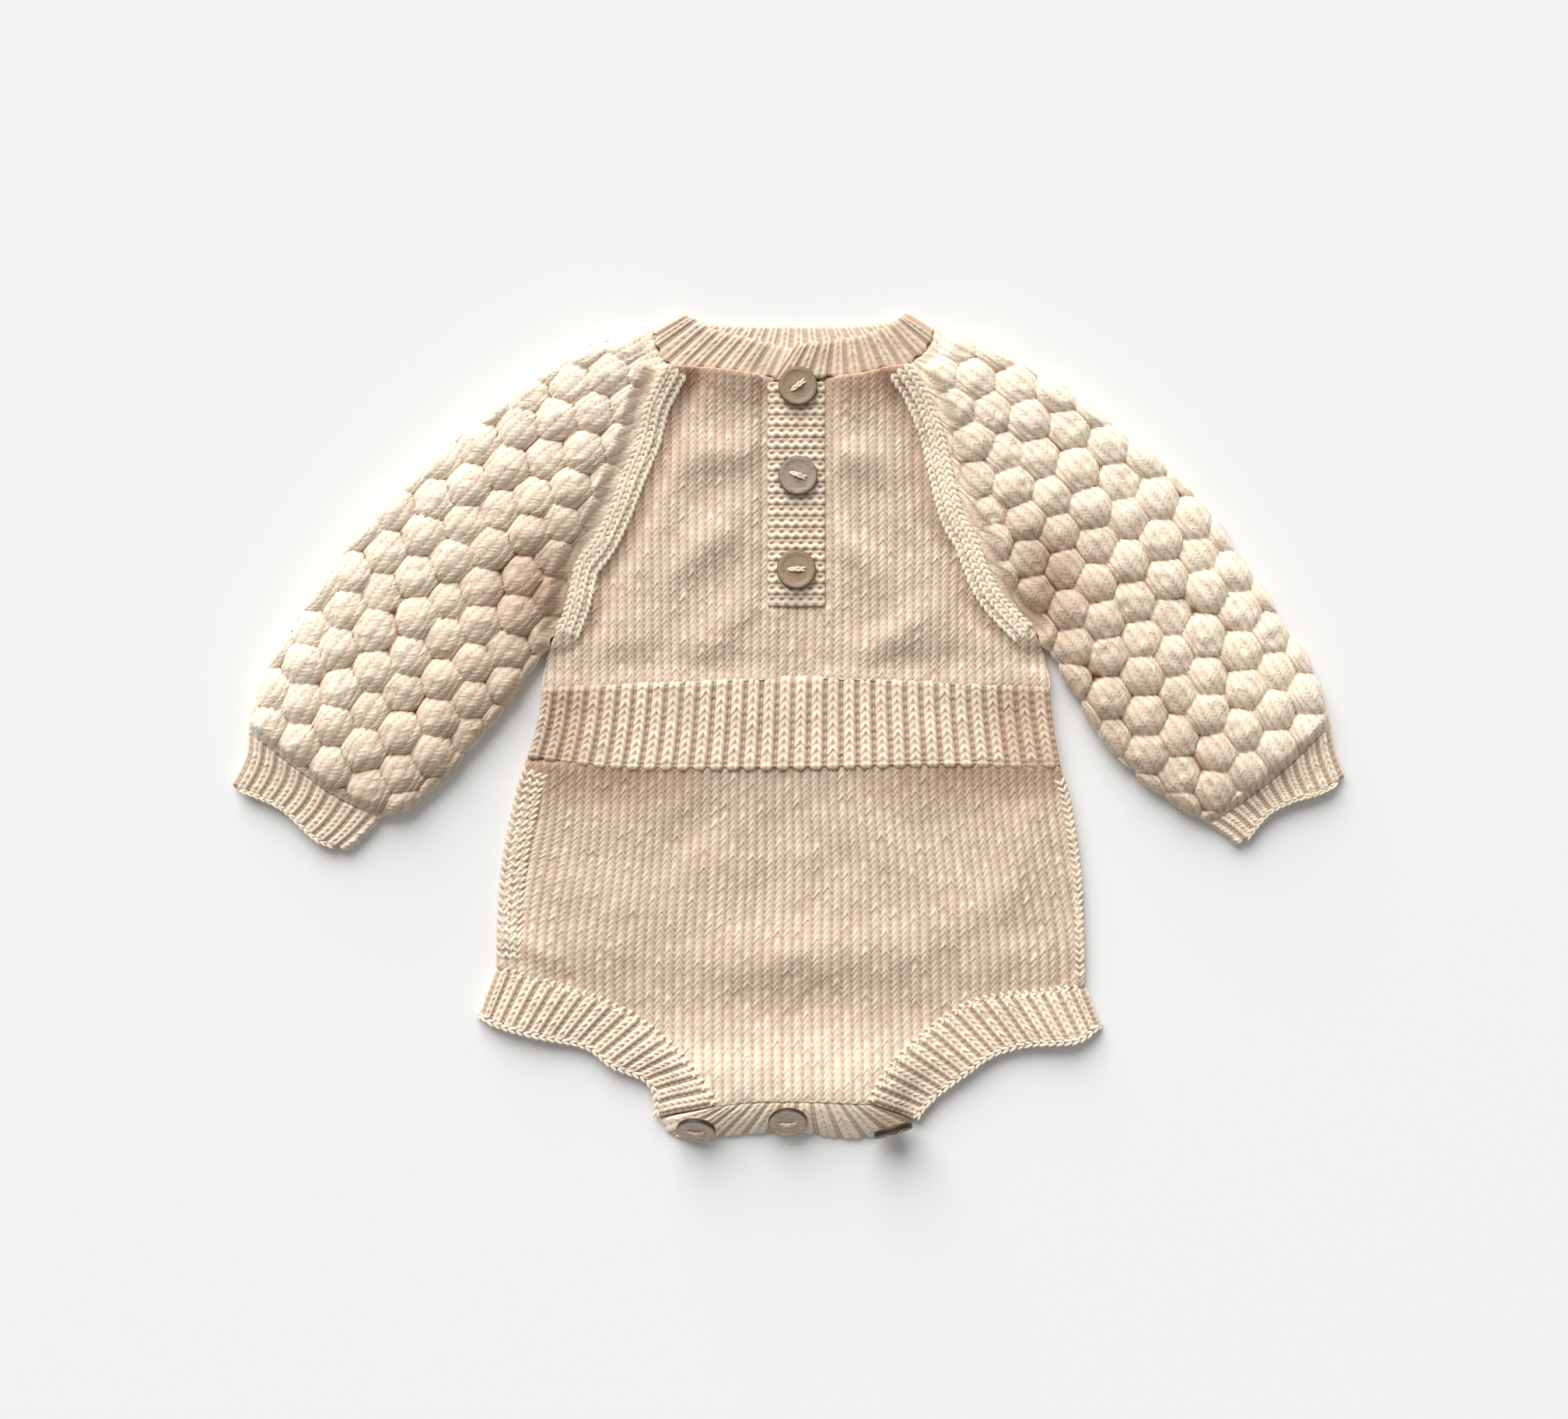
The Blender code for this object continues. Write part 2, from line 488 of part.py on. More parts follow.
def bubble_points():
    """(down, across) of the points that carry the bubbles: middles, a ring, edge middles and corner pits."""
    rows, columns = np.meshgrid(np.arange(-1, 21), np.arange(-8, 9), indexing="ij")
    middle_down = (rows * BUBBLE_ALONG)[..., None]
    middle_across = ((columns + (rows % 2) / 2) * BUBBLE_ACROSS)[..., None]
    d = np.array([0, 1 / 3, 1 / 6, -1 / 6, -1 / 3, -1 / 6, 1 / 6, 0, 1 / 2, 1 / 2, 2 / 3, -2 / 3]) * BUBBLE_ALONG
    a = np.array([0, 0, 1 / 4, 1 / 4, 0, -1 / 4, -1 / 4, 1 / 2, 1 / 4, -1 / 4, 0, 0]) * BUBBLE_ACROSS
    return (middle_down + d).ravel(), (middle_across + a).ravel()


def sleeve_lines(side):
    """The named curves of one sleeve, each from its end nearer the neck."""
    return {name: seam(name + "_" + side, step) for name, step in
            (("shoulder", BUBBLE_ALONG / 3), ("wrist", 6.0), ("underarm", BUBBLE_ALONG / 3), ("raglan", 6.0),
             ("neck_seam", 6.0))}


def sleeve_heights(side, x, y):
    """(outer height without bubbles, bubble height) of the sleeve's upper layer."""
    lines = sleeve_lines(side)
    fold = np.minimum(distance_to(lines["shoulder"], x, y), distance_to(lines["underarm"], x, y))
    body = np.minimum(distance_to(lines["raglan"], x, y), distance_to(lines["neck_seam"], x, y))
    wrist = distance_to(lines["wrist"], x, y)
    plump = (1 - np.exp(-fold / 9.0)) * (0.45 + 0.55 * smooth(np.minimum(body, wrist) / 24.0))
    down, across = sleeve_frame(side, x, y)
    swell = smooth((body - 4.0) / 6.0) * smooth((wrist - 2.0) / 7.0)
    return 5.2 + 3.0 * plump, BUBBLE_HEIGHT * swell * bubbles(down, across)


def add_sleeve(side):
    """One folded sheet: the upper layer with its bubbles, the flat under layer and the slit between them.

    The outline runs neck, shoulder fold, wrist, underarm fold, raglan; only the folds close the slit.
    """
    lines = sleeve_lines(side)
    parts = [lines["shoulder"], lines["wrist"], lines["underarm"][::-1], lines["raglan"][::-1],
             lines["neck_seam"][::-1]]
    ring = joined(*parts)
    counts = np.cumsum([0] + [len(part) - 1 for part in parts])
    folded = np.zeros(len(ring), bool)
    folded[counts[0]:counts[1] + 1] = True
    folded[counts[2]:counts[3] + 1] = True
    if side == "right":
        ring, folded = ring[::-1], folded[::-1]
    n = len(ring)
    k = np.arange(n)
    after = (k + 1) % n
    is_corner = folded & ~(np.roll(folded, 1) & np.roll(folded, -1))
    start = inset(ring, GAP / 2)
    puff = sleeve_heights(side, *start.T)[1]
    free = folded & ~is_corner
    middle = inset(ring, np.where(free, 1.0 - 0.75 * puff, GAP / 2))
    upper = inset(middle, np.where(free, 2.4, 0.0))
    under = inset(middle, np.where(free, 1.8, 0.0))
    slit = inset(start, np.where(free, 4.6, 0.0))
    for c in np.where(is_corner)[0]:
        near = start[(c + 1) % n] if not folded[(c + 1) % n] else start[(c - 1) % n]
        slit[c] = start[c] + (near - start[c]) * min(0.6, 3.4 / np.linalg.norm(near - start[c]))

    down, across = bubble_points()
    path = spline(SLEEVE_AXIS[side], 90)
    run = np.concatenate([[0], np.cumsum(np.linalg.norm(np.diff(path, axis=0), axis=1))])
    heading = np.gradient(path, axis=0)
    heading /= np.linalg.norm(heading, axis=1)[:, None]
    at = np.stack([np.interp(down, run, path[:, d], left=np.nan, right=np.nan) for d in (0, 1)], -1)
    way = np.stack([np.interp(down, run, heading[:, d]) for d in (0, 1)], -1)
    grid = at + across[:, None] * np.stack([-way[:, 1], way[:, 0]], -1)
    grid = grid[~np.isnan(grid[:, 0])]
    grid = grid[is_inside(upper, grid)]
    grid = grid[distance_to(np.vstack([upper, upper[:1]]), *grid.T) > 2.1]

    base, bump = sleeve_heights(side, *grid.T)
    edge_base, edge_bump = sleeve_heights(side, *upper.T)
    slit_fill = fill_points(slit, 24.0)
    slit_base = sleeve_heights(side, *slit.T)[0]
    fill_base = sleeve_heights(side, *slit_fill.T)[0]
    points = np.vstack([
        lift(upper, edge_base + edge_bump * 0.7), lift(middle, FOLD_LEVEL), lift(under, 0.0),
        lift(slit, np.where(folded, LEVEL + 0.5, slit_base - WALL)), lift(slit, BACK_WALL),
        lift(grid, base + bump), lift(slit_fill, fill_base - WALL), lift(slit_fill, BACK_WALL)])
    t, m, b, c, f = (ring_number * n for ring_number in range(5))
    grid_first, roof_first, floor_first = 5 * n, 5 * n + len(grid), 5 * n + len(grid) + len(slit_fill)
    faces = []
    both = folded[k] & folded[after]
    for a, z in zip(k[both], after[both]):
        faces += [(m + a, m + z, t + z, t + a), (b + a, b + z, m + z, m + a), (c + a, c + z, f + z, f + a)]
    for a, z in zip(k[~both], after[~both]):
        faces += [(c + a, c + z, t + z, t + a), (b + a, b + z, f + z, f + a)]
    for a in np.where(is_corner)[0]:
        end_face = (t + a, m + a, b + a, f + a, c + a)
        faces.append(end_face if folded[a - 1] else end_face[::-1])
    over = triangles(upper, grid)
    faces += list(np.where(over < n, over, over + grid_first - n))
    roof = triangles(slit, slit_fill)
    faces += list(np.where(roof < n, roof + c, roof + roof_first - n)[:, ::-1])
    faces += list(np.where(roof < n, roof + f, roof + floor_first - n))
    below = triangles(under, np.zeros((0, 2)))
    faces += list(below[:, ::-1] + b)
    return add_node("sleeve_" + side, points, faces, COTTON)


add_sleeve("left")
add_sleeve("right")


# ---------------------------------------------------------------- bands that fold over at the sides
def fold_steps(count):
    """Angles that carry a band round a fold, from upright through level to hanging down."""
    return np.radians(np.linspace(90, -90, count + 2)[1:-1])


def folded_band(upper, lower, turn, out, z_centre, r_in, r_out, rows):
    """(outer, inner) grids of a band between two plan curves.

    turn is each column's angle, out its plan direction at a fold; r_in and r_out are the two sides'
    distances from the fold's centre line at height z_centre, as rows x columns.
    """
    v = np.linspace(0, 1, rows)[:, None, None]
    plan = (1 - v) * upper[None] + v * lower[None]
    way = np.stack([out[:, 0] * np.cos(turn), out[:, 1] * np.cos(turn), np.sin(turn)], 1)[None]
    base = np.concatenate([plan, np.full((*plan.shape[:2], 1), z_centre)], 2)
    return base + way * r_out[..., None], base + way * r_in[..., None]


# ---------------------------------------------------------------- cuffs
CUFF_RIBS = 9


def add_cuff(side):
    """A flattened ribbed tube: ribs on the upper half, plain where it rests."""
    top = patch(SEAMS["wrist_" + side], SEAMS["cuff_edge_" + side], SEAMS["cuff_outer_" + side],
                SEAMS["cuff_inner_" + side], 4, CUFF_RIBS * 3 + 1)
    down = SEAMS["cuff_edge_" + side][2] - np.array(SEAMS["wrist_" + side][1])
    top[0] += down / np.linalg.norm(down) * 0.4
    width = top[:, -1:] - top[:, :1]
    way = width / np.linalg.norm(width, axis=2)[..., None]
    u = np.linspace(0, 1, CUFF_RIBS * 3 + 1)[None, :, None]
    top = top + way * 2.6 * (1 - 2 * u)
    radius_in = 0.45
    ridge = RIB_HEIGHT * 0.9 * ribs(CUFF_RIBS, 3)[None] * np.array([0.5, 1.0, 1.0, 0.35])[:, None]
    swell = 1.4 * np.sin(np.pi * u[..., 0]) * np.array([1.0, 0.6, 0.4, 0.7])[:, None]
    z_in = 2.55 + radius_in + swell * 0.8
    z_out = z_in + 1.7 + ridge
    over_out, over_in = raised(top, z_out), raised(top, z_in)
    turns = fold_steps(3)
    centre = 2.55

    def fold(edge, direction, radius, start_z):
        """Columns round one side from the upper layer to the under layer."""
        columns = []
        for a in turns:
            lift_by = np.where(np.sin(a) > 0, start_z - centre, radius)
            columns.append(np.concatenate([
                edge + direction * radius * math.cos(a), (centre + lift_by * math.sin(a))[:, None]], 1))
        return np.stack(columns, 1)

    east_out = fold(top[:, -1], way[:, 0], 2.55, z_out[:, -1])
    east_in = fold(top[:, -1], way[:, 0], 0.45, z_in[:, -1])
    west_out = fold(top[:, 0], -way[:, 0], 2.55, z_out[:, 0])[:, ::-1]
    west_in = fold(top[:, 0], -way[:, 0], 0.45, z_in[:, 0])[:, ::-1]
    under = top[:, ::-3]
    outer = np.concatenate([over_out, east_out, raised(under, 0.0), west_out], 1)
    inner = np.concatenate([over_in, east_in, raised(under, centre - radius_in), west_in], 1)
    return face_out(tube("cuff_" + side, outer, inner))


add_cuff("left")
add_cuff("right")

# ---------------------------------------------------------------- neckband
NECK_ROWS = 4
SIDE_RIBS_LEFT = round(72.0 / NECK_RIB_PITCH)
SIDE_RIBS_RIGHT = round(66.0 / NECK_RIB_PITCH)
BACK_RIBS = round(119.0 / NECK_RIB_PITCH)


def neck_part(upper, lower, count):
    return spline(upper, count), spline(lower, count)


def add_neckband():
    """One ribbed band from the left end, which lies under the placket, round the back to the right end."""
    per = 3
    left_low = [*SEAMS["neck_seam_left"][:-1], *SEAMS["neck_low_left"], (14.0, 160.2)]
    right_low = [(-7.7, 157.2), (-2.0, 158.6), (8.0, 159.6), *SEAMS["neck_low_right"],
                 *SEAMS["neck_seam_right"][-2::-1]]
    left = neck_part(SEAMS["neck_top_left"], left_low, SIDE_RIBS_LEFT * per + 1)
    right = neck_part(SEAMS["neck_top_right"], right_low, SIDE_RIBS_RIGHT * per + 1)
    back = neck_part(SEAMS["neck_top_back"], SEAMS["neck_low_back"], BACK_RIBS * per + 1)
    fold_count = 3
    columns_upper = [left[0][::-1], np.repeat(left[0][:1], fold_count, 0), back[0],
                     np.repeat(right[0][-1:], fold_count, 0), right[0][::-1]]
    columns_lower = [left[1][::-1], np.repeat(left[1][:1], fold_count, 0), back[1],
                     np.repeat(right[1][-1:], fold_count, 0), right[1][::-1]]
    upper, lower = np.vstack(columns_upper), np.vstack(columns_lower)
    n_left, n_back, n_right = len(left[0]), len(back[0]), len(right[0])
    down = fold_steps(fold_count)
    turn = np.concatenate([np.full(n_left, np.pi / 2), down, np.full(n_back, -np.pi / 2), down[::-1],
                           np.full(n_right, np.pi / 2)])
    out = np.zeros((len(turn), 2))
    out[:n_left + fold_count + n_back // 2] = np.array([-0.55, 0.83])
    out[n_left + fold_count + n_back // 2:] = np.array([0.55, 0.83])
    # The band narrows a little before each fold so that the fold itself ends on the outline.
    pull = np.concatenate([np.zeros(n_left - 3), [0.6, 1.4, 2.3], np.full(fold_count, 2.3), [2.3, 1.4, 0.6],
                           np.zeros(n_back - 6), [0.6, 1.4, 2.3], np.full(fold_count, 2.3), [2.3, 1.4, 0.6],
                           np.zeros(n_right - 3)])
    upper = upper - out * pull[:, None]
    lower = lower - out * pull[:, None]
    width = lower - upper
    width /= np.linalg.norm(width, axis=1)[:, None]
    lower = lower - width * 0.7
    is_left = np.arange(len(turn)) < n_left
    is_right = np.arange(len(turn)) >= len(turn) - n_right
    is_back = (turn < -1.57)
    # The right end climbs over the left end by the thickness of the band.
    x = upper[:, 0]
    climb = np.where(is_right, smooth((25.0 - x) / 9.0), 0.0)
    sink = np.where(is_left, smooth((x + 13.0) / 8.0), 0.0)
    edge = np.array([0.35, 1.0, 1.0, 0.6])[:, None]
    phase = np.concatenate([ribs(SIDE_RIBS_LEFT, per), np.zeros(fold_count), ribs(BACK_RIBS, per),
                            np.zeros(fold_count), ribs(SIDE_RIBS_RIGHT, per)])
    lean = np.array([0.0, 0.3, 0.6, 0.9])[:, None]
    in_front = 0.75 + lean * np.where(is_left | is_right, 1.0, 0.0)
    in_front = in_front + (2.05 - in_front) * climb - in_front * sink
    r_in = np.where(is_back, 0.45 - 0.6 * phase * np.array([0.5, 1.0, 1.0, 0.0])[:, None], in_front)
    r_in = np.where(np.abs(turn) < 1.5, 0.45, r_in)
    ridge = (0.2 + RIB_HEIGHT * 0.9 * phase * (1 - sink)) * edge
    r_out = np.where(is_back, 2.55, in_front + 1.6 + ridge)
    r_out = np.where(np.abs(turn) < 1.5, 2.55, r_out)
    outer, inner = folded_band(upper, lower, turn, out, 2.55, r_in, r_out, NECK_ROWS)
    bends = np.where((np.abs(turn) < 1.5) | (pull > 0))[0]
    return face_out(strip("neckband", outer, inner, 4, bends))


add_neckband()

# ---------------------------------------------------------------- placket
PLACKET_LEFT, PLACKET_RIGHT, PLACKET_LOW, PLACKET_TOP = -8.3, 17.3, 54.7, 156.4
GARTER_RIDGES = round((PLACKET_TOP - PLACKET_LOW) / GARTER_PITCH)


def add_placket():
    """The garter band that shows, on top of the plain band that its buttons are sewn to."""
    rows = GARTER_RIDGES * 3 + 1
    v = np.linspace(0, 1, rows)[:, None]
    u = np.linspace(0, 1, 4)[None, :]
    y = PLACKET_LOW + (PLACKET_TOP - PLACKET_LOW) * v + 0 * u
    wave = 0.5 - 0.5 * np.cos(2 * np.pi * GARTER_RIDGES * v)
    x = PLACKET_LEFT + (PLACKET_RIGHT - PLACKET_LEFT) * u - 0.5 * wave * (1 - u) + 0.2 * wave * u
    plan = np.stack([x, y], -1)
    z_in = np.full(plan.shape[:2], LEVEL + WALL + 0.35)
    end = smooth(np.minimum(v, 1 - v) * 60.0)
    z_out = z_in + 1.3 + (0.2 + GARTER_HEIGHT * wave) * (0.55 + 0.45 * np.sin(np.pi * u)) * (0.4 + 0.6 * end)
    face_out(strip("placket_over", raised(plan, z_out), raised(plan, z_in), 3))
    low, high = NOTCH_LOW + GAP, 156.6
    west, east = NOTCH_LEFT + GAP, NOTCH_RIGHT - GAP
    ring = np.array([(west, low), (east, low), (east, (low + high) / 2), (east, high), (west, high),
                     (west, (low + high) / 2)])
    flat_panel("placket_under", ring, lambda px, py: front_flat(px) + 1.9, front_flat, 60.0, 60.0, 0.5)


def front_flat(x, y=None):
    """The level where the front layer lies straight on the back layer."""
    return np.full(np.shape(x), LEVEL)


add_placket()

# ---------------------------------------------------------------- leg bands
LEG_RIBS = round(128.0 / RIB_PITCH)
LEG_ROWS = 4


def add_leg_band(side):
    """One ribbed band: the back half flat on the surface, folded at the side, the front half on top of it."""
    sign = -1.0 if side == "left" else 1.0
    per = 3
    count = LEG_RIBS * per + 1
    upper, lower = spline(SEAMS["leg_" + side], count), spline(SEAMS["leg_edge_" + side], count)
    width = lower - upper
    way = width / np.linalg.norm(width, axis=1)[:, None]
    upper = upper + way * GAP / 2
    fold_count = 3
    back_columns = np.arange(0, count, 3)
    out = np.array([sign * 0.94, 0.34])
    out /= np.linalg.norm(out)
    pull = np.zeros(count)
    pull[:4] = [2.3, 1.6, 0.9, 0.3]
    upper, lower = upper - out * pull[:, None], lower - out * pull[:, None]
    back_lower = lower[back_columns] + way[back_columns] * 1.2 * smooth(back_columns / 8.0)[:, None]
    all_upper = np.vstack([upper[back_columns][::-1], np.repeat(upper[:1], fold_count, 0), upper])
    all_lower = np.vstack([back_lower[::-1], np.repeat(lower[:1], fold_count, 0), lower])
    n_back = len(back_columns)
    turn = np.concatenate([np.full(n_back, -np.pi / 2), fold_steps(fold_count)[::-1], np.full(count, np.pi / 2)])
    v = np.linspace(0, 1, LEG_ROWS)[:, None]
    plan = (1 - v[..., None]) * upper[None] + v[..., None] * lower[None]
    ease = 1 - smooth(v * 1.15)
    held = crotch_rise(upper[:, 0], upper[:, 1])[None]
    wave = 0.9 + 0.8 * np.sin(np.arange(count) / count * 9.0 + 0.6)[None]
    start = smooth(np.arange(count) / 10.0)[None]
    z_in = LEVEL + 0.3 * start + held * ease + wave * v * start * (1 - smooth(held / 3.0))
    edge = np.array([0.7, 1.0, 1.0, 0.3])[:, None]
    z_out = z_in + 1.7 + (0.4 + RIB_HEIGHT * ribs(LEG_RIBS, per)[None]) * edge
    centre = 2.15
    r_in = np.concatenate([np.full((LEG_ROWS, n_back + fold_count), 0.15), z_in - centre], 1)
    r_out = np.concatenate([np.full((LEG_ROWS, n_back + fold_count), 2.15), z_out - centre], 1)
    outer, inner = folded_band(all_upper, all_lower, turn, np.tile(out, (len(turn), 1)), centre, r_in, r_out,
                               LEG_ROWS)
    bends = np.arange(n_back - 1, n_back + fold_count + 4)
    return face_out(strip("leg_band_" + side, outer, inner, 5, bends))


add_leg_band("left")
add_leg_band("right")

# ---------------------------------------------------------------- crotch bands
CROTCH_RIBS = 11
CROTCH_ROUND = 1.35  # how square the roll of the crotch is: 1 is a straight slope, 2 an ellipse


def crotch_section(depth, height, rows):
    """(plan share from the top, height, outward level part, outward upright part) down the rolled band."""
    f = np.asarray(rows)[:, None]

    def rise(share):
        return height * (1 - np.clip(share, 0, 1) ** CROTCH_ROUND) ** (1 / CROTCH_ROUND)

    step = 1e-3
    low, high = np.clip(f - step, 0, 1), np.clip(f + step, 0, 1)
    level, upright = (high - low) * depth, rise(low) - rise(high)
    size = np.hypot(level, upright)
    return f + 0 * depth, rise(f), upright / size, level / size


def add_crotch_bands():
    """The ribbed band that shows, rolled down to the surface, and the plain band that follows inside it."""
    bottom = 0.5
    count = CROTCH_RIBS * 3 + 1
    top = spline(SEAMS["crotch_top"], count) + np.array([0.0, -0.4])
    edge = spline(SEAMS["crotch_edge"], count)
    side = np.linspace(0.6, -0.6, count)
    top[:, 0] += side
    edge[:, 0] += side
    depth = np.linalg.norm(edge - top, axis=1)
    way = (edge - top) / depth[:, None]
    height = front_top(*top.T) - bottom
    rows = (0.0, 0.2, 0.42, 0.62, 0.8, 0.93, 1.0)
    share, z, level, upright = crotch_section(depth[None], height[None], rows)
    normal = np.concatenate([way[None] * level[..., None], upright[..., None]], 2)
    shell = np.concatenate([top[None] + way[None] * (share * depth)[..., None], (z + bottom)[..., None]], 2)
    edge_fall = np.array([0.4, 1.0, 1.0, 1.0, 1.0, 0.8, 0.3])[:, None]
    ridge = RIB_HEIGHT * 0.9 * ribs(CROTCH_RIBS, 3)[None] * edge_fall
    outer = shell + normal * (ridge - RIB_HEIGHT * 0.6)[..., None]
    outer[-1, :, 2] = bottom
    inner = shell - normal * WALL
    inner[-1, :, 2] = bottom
    inner[0] = shell[0] - np.array([0, 0, WALL])
    face_out(strip("crotch_band_front", outer, inner, 3))

    pick = slice(1, None, 3)
    hold = shell[1:4, pick] - normal[1:4, pick] * (WALL + 1.5)
    inside = shell[1:4, pick] - normal[1:4, pick] * (WALL + 3.3)
    foot, turn_in = edge[pick], -way[pick]
    end = spline([(-33.6, -176.0), (-29.6, -178.3), (-14.0, -179.3), (2.0, -179.3), (20.0, -179.3),
                  (34.6, -178.1), (38.6, -174.8)], len(foot))

    def row(distance, height_at):
        return lift(foot + turn_in * distance, height_at)[None]

    outer = np.concatenate([hold, row(6.4, 1.4), row(7.2, 0.0), lift(end, 0.0)[None]])
    inner = np.concatenate([inside, row(8.9, 2.05), row(9.6, 2.0), lift(end, 2.0)[None]])
    face_out(strip("crotch_band_back", outer, inner, 1))


add_crotch_bands()

# ---------------------------------------------------------------- buttons
BUTTONS = {
    # name: x, y, height of the middle, tilt toward the crotch end, turn about the upright, turn of the holes
    "button_neck": (5.0, 155.9, 9.0, 0.0, 0.0, 37.0),
    "button_chest": (5.0, 114.8, 8.8, 0.0, 0.0, -20.0),
    "button_belly": (4.3, 71.6, 8.8, 0.0, 0.0, 0.0),
    "button_crotch_left": (-41.8, -185.8, 10.6, 50.0, -4.0, 0.0),
    "button_crotch_middle": (0.4, -182.0, 10.9, 40.0, 2.0, 0.0),
    "button_crotch_right": (48.6, -185.6, 12.2, 74.0, 16.0, 0.0),
}
BUTTON_SEGMENTS = 20
HOLE_SEGMENTS = 6
HOLE_SPREAD = 5.3


def circle(radius, segments, x=0.0):
    angles = np.linspace(0, 2 * np.pi, segments, endpoint=False)
    return np.stack([x + radius * np.cos(angles), radius * np.sin(angles)], 1)


def add_button(name, x, y, z, tilt, turn, spin):
    """A two-hole disc with eased edges."""
    half, radius = BUTTON_THICK / 2, BUTTON_WIDTH / 2
    rings = [(radius - 0.5, half), (radius, half - 0.6), (radius, 0.6 - half), (radius - 0.5, -half)]
    holes = [circle(BUTTON_HOLE / 2, HOLE_SEGMENTS, side * HOLE_SPREAD / 2) for side in (-1, 1)]
    n, h = BUTTON_SEGMENTS, HOLE_SEGMENTS
    points = np.vstack([lift(circle(r, n), level) for r, level in rings]
                       + [lift(hole, level) for level in (half, -half) for hole in holes])
    k, after = np.arange(n), (np.arange(n) + 1) % n
    faces = []
    for ring in range(3):
        faces += list(np.stack([k + (ring + 1) * n, after + (ring + 1) * n, after + ring * n, k + ring * n], 1))
    cap = triangles(circle(radius - 0.5, n), np.zeros((0, 2)), holes)
    faces += list(np.where(cap < n, cap, cap + 3 * n))
    faces += list(np.where(cap < n, cap + 3 * n, cap + 3 * n + 2 * h)[:, ::-1])
    k, after = np.arange(h), (np.arange(h) + 1) % h
    for hole in range(2):
        a, b = 4 * n + hole * h, 4 * n + (hole + 2) * h
        faces += list(np.stack([a + k, a + after, b + after, b + k], 1))
    s, t, u = (math.radians(v) for v in (spin, tilt, turn))
    spun = points @ np.array([[math.cos(s), math.sin(s), 0], [-math.sin(s), math.cos(s), 0], [0, 0, 1]])
    leaned = spun @ np.array([[1, 0, 0], [0, math.cos(t), math.sin(t)], [0, -math.sin(t), math.cos(t)]])
    placed = leaned @ np.array([[math.cos(u), math.sin(u), 0], [-math.sin(u), math.cos(u), 0], [0, 0, 1]])
    return face_out(add_node(name, placed + np.array([x, y, z]), faces, COCONUT))


for button, values in BUTTONS.items():
    add_button(button, *values)
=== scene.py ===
"""Knitted baby romper lying flat on its back: cotton stockinette, bubble-stitch sleeves, ribbed bands,
garter placket and coconut buttons. Lengths are in millimetres until a mesh is made."""

import math

import bmesh
import bpy
import numpy as np
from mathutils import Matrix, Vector
from mathutils.geometry import delaunay_2d_cdt


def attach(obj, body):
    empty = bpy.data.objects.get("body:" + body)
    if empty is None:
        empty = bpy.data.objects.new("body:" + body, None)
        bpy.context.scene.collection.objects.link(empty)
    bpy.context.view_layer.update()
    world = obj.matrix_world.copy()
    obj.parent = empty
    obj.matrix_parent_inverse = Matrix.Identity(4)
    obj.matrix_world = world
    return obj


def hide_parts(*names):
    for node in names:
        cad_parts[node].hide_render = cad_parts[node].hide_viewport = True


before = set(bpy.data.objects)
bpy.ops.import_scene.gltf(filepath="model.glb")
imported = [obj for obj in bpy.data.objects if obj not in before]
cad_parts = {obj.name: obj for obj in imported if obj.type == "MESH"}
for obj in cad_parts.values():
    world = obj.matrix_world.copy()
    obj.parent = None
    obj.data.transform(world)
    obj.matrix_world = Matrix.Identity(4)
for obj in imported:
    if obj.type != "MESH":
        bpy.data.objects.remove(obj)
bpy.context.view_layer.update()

# ---------------------------------------------------------------- surface, light and camera
# A plain pale board under broad soft light that comes in low from beyond the neck, seen from straight above.


def linear(code):
    """An sRGB hex colour as linear red, green, blue and alpha."""
    channels = [int(code[k:k + 2], 16) / 255 for k in (1, 3, 5)]
    return (*[c / 12.92 if c <= 0.04045 else ((c + 0.055) / 1.055) ** 2.4 for c in channels], 1.0)


def add(tree, kind, inputs=(), **settings):
    """Adds a node: settings are its properties, inputs its sockets' values or the sockets that feed them."""
    made = tree.nodes.new(kind)
    for key, value in settings.items():
        setattr(made, key, value)
    for key, value in dict(inputs).items():
        if isinstance(value, bpy.types.NodeSocket):
            tree.links.new(value, made.inputs[key])
        else:
            made.inputs[key].default_value = value
    return made


def new_material(name):
    """An empty node material and its output."""
    made = bpy.data.materials.new(name)
    made.use_nodes = True
    made.node_tree.nodes.clear()
    return made, add(made.node_tree, "ShaderNodeOutputMaterial")


# Matt painted board: nearly white, with no pattern.
painted_board, board_out = new_material("matt_painted_board")
board = add(painted_board.node_tree, "ShaderNodeBsdfPrincipled",
            {"Base Color": linear("#F1F1F0"), "Roughness": 0.7, "Specular IOR Level": 0.25})
painted_board.node_tree.links.new(board.outputs["BSDF"], board_out.inputs["Surface"])

BOARD_HALF, BOARD_TOP = 3.0, -0.0004  # metres; the board lies just clear of the cloth's underside
floor_mesh = bpy.data.meshes.new("floor")
board_corners = [(x * BOARD_HALF, y * BOARD_HALF, BOARD_TOP) for x, y in ((-1, -1), (1, -1), (1, 1), (-1, 1))]
floor_mesh.from_pydata(board_corners, [], [(0, 1, 2, 3)])
floor_mesh.materials.append(painted_board)
floor = bpy.data.objects.new("floor", floor_mesh)
bpy.context.scene.collection.objects.link(floor)

# The camera looks straight down from a metre up, a few millimetres off the garment's middle.
camera_data = bpy.data.cameras.new("camera")
camera_data.lens = 49.5
camera_data.sensor_width = 36.0
camera = bpy.data.objects.new("camera", camera_data)
camera.location = (-0.00195, 0.0079, 1.0)
bpy.context.scene.collection.objects.link(camera)
bpy.context.scene.camera = camera

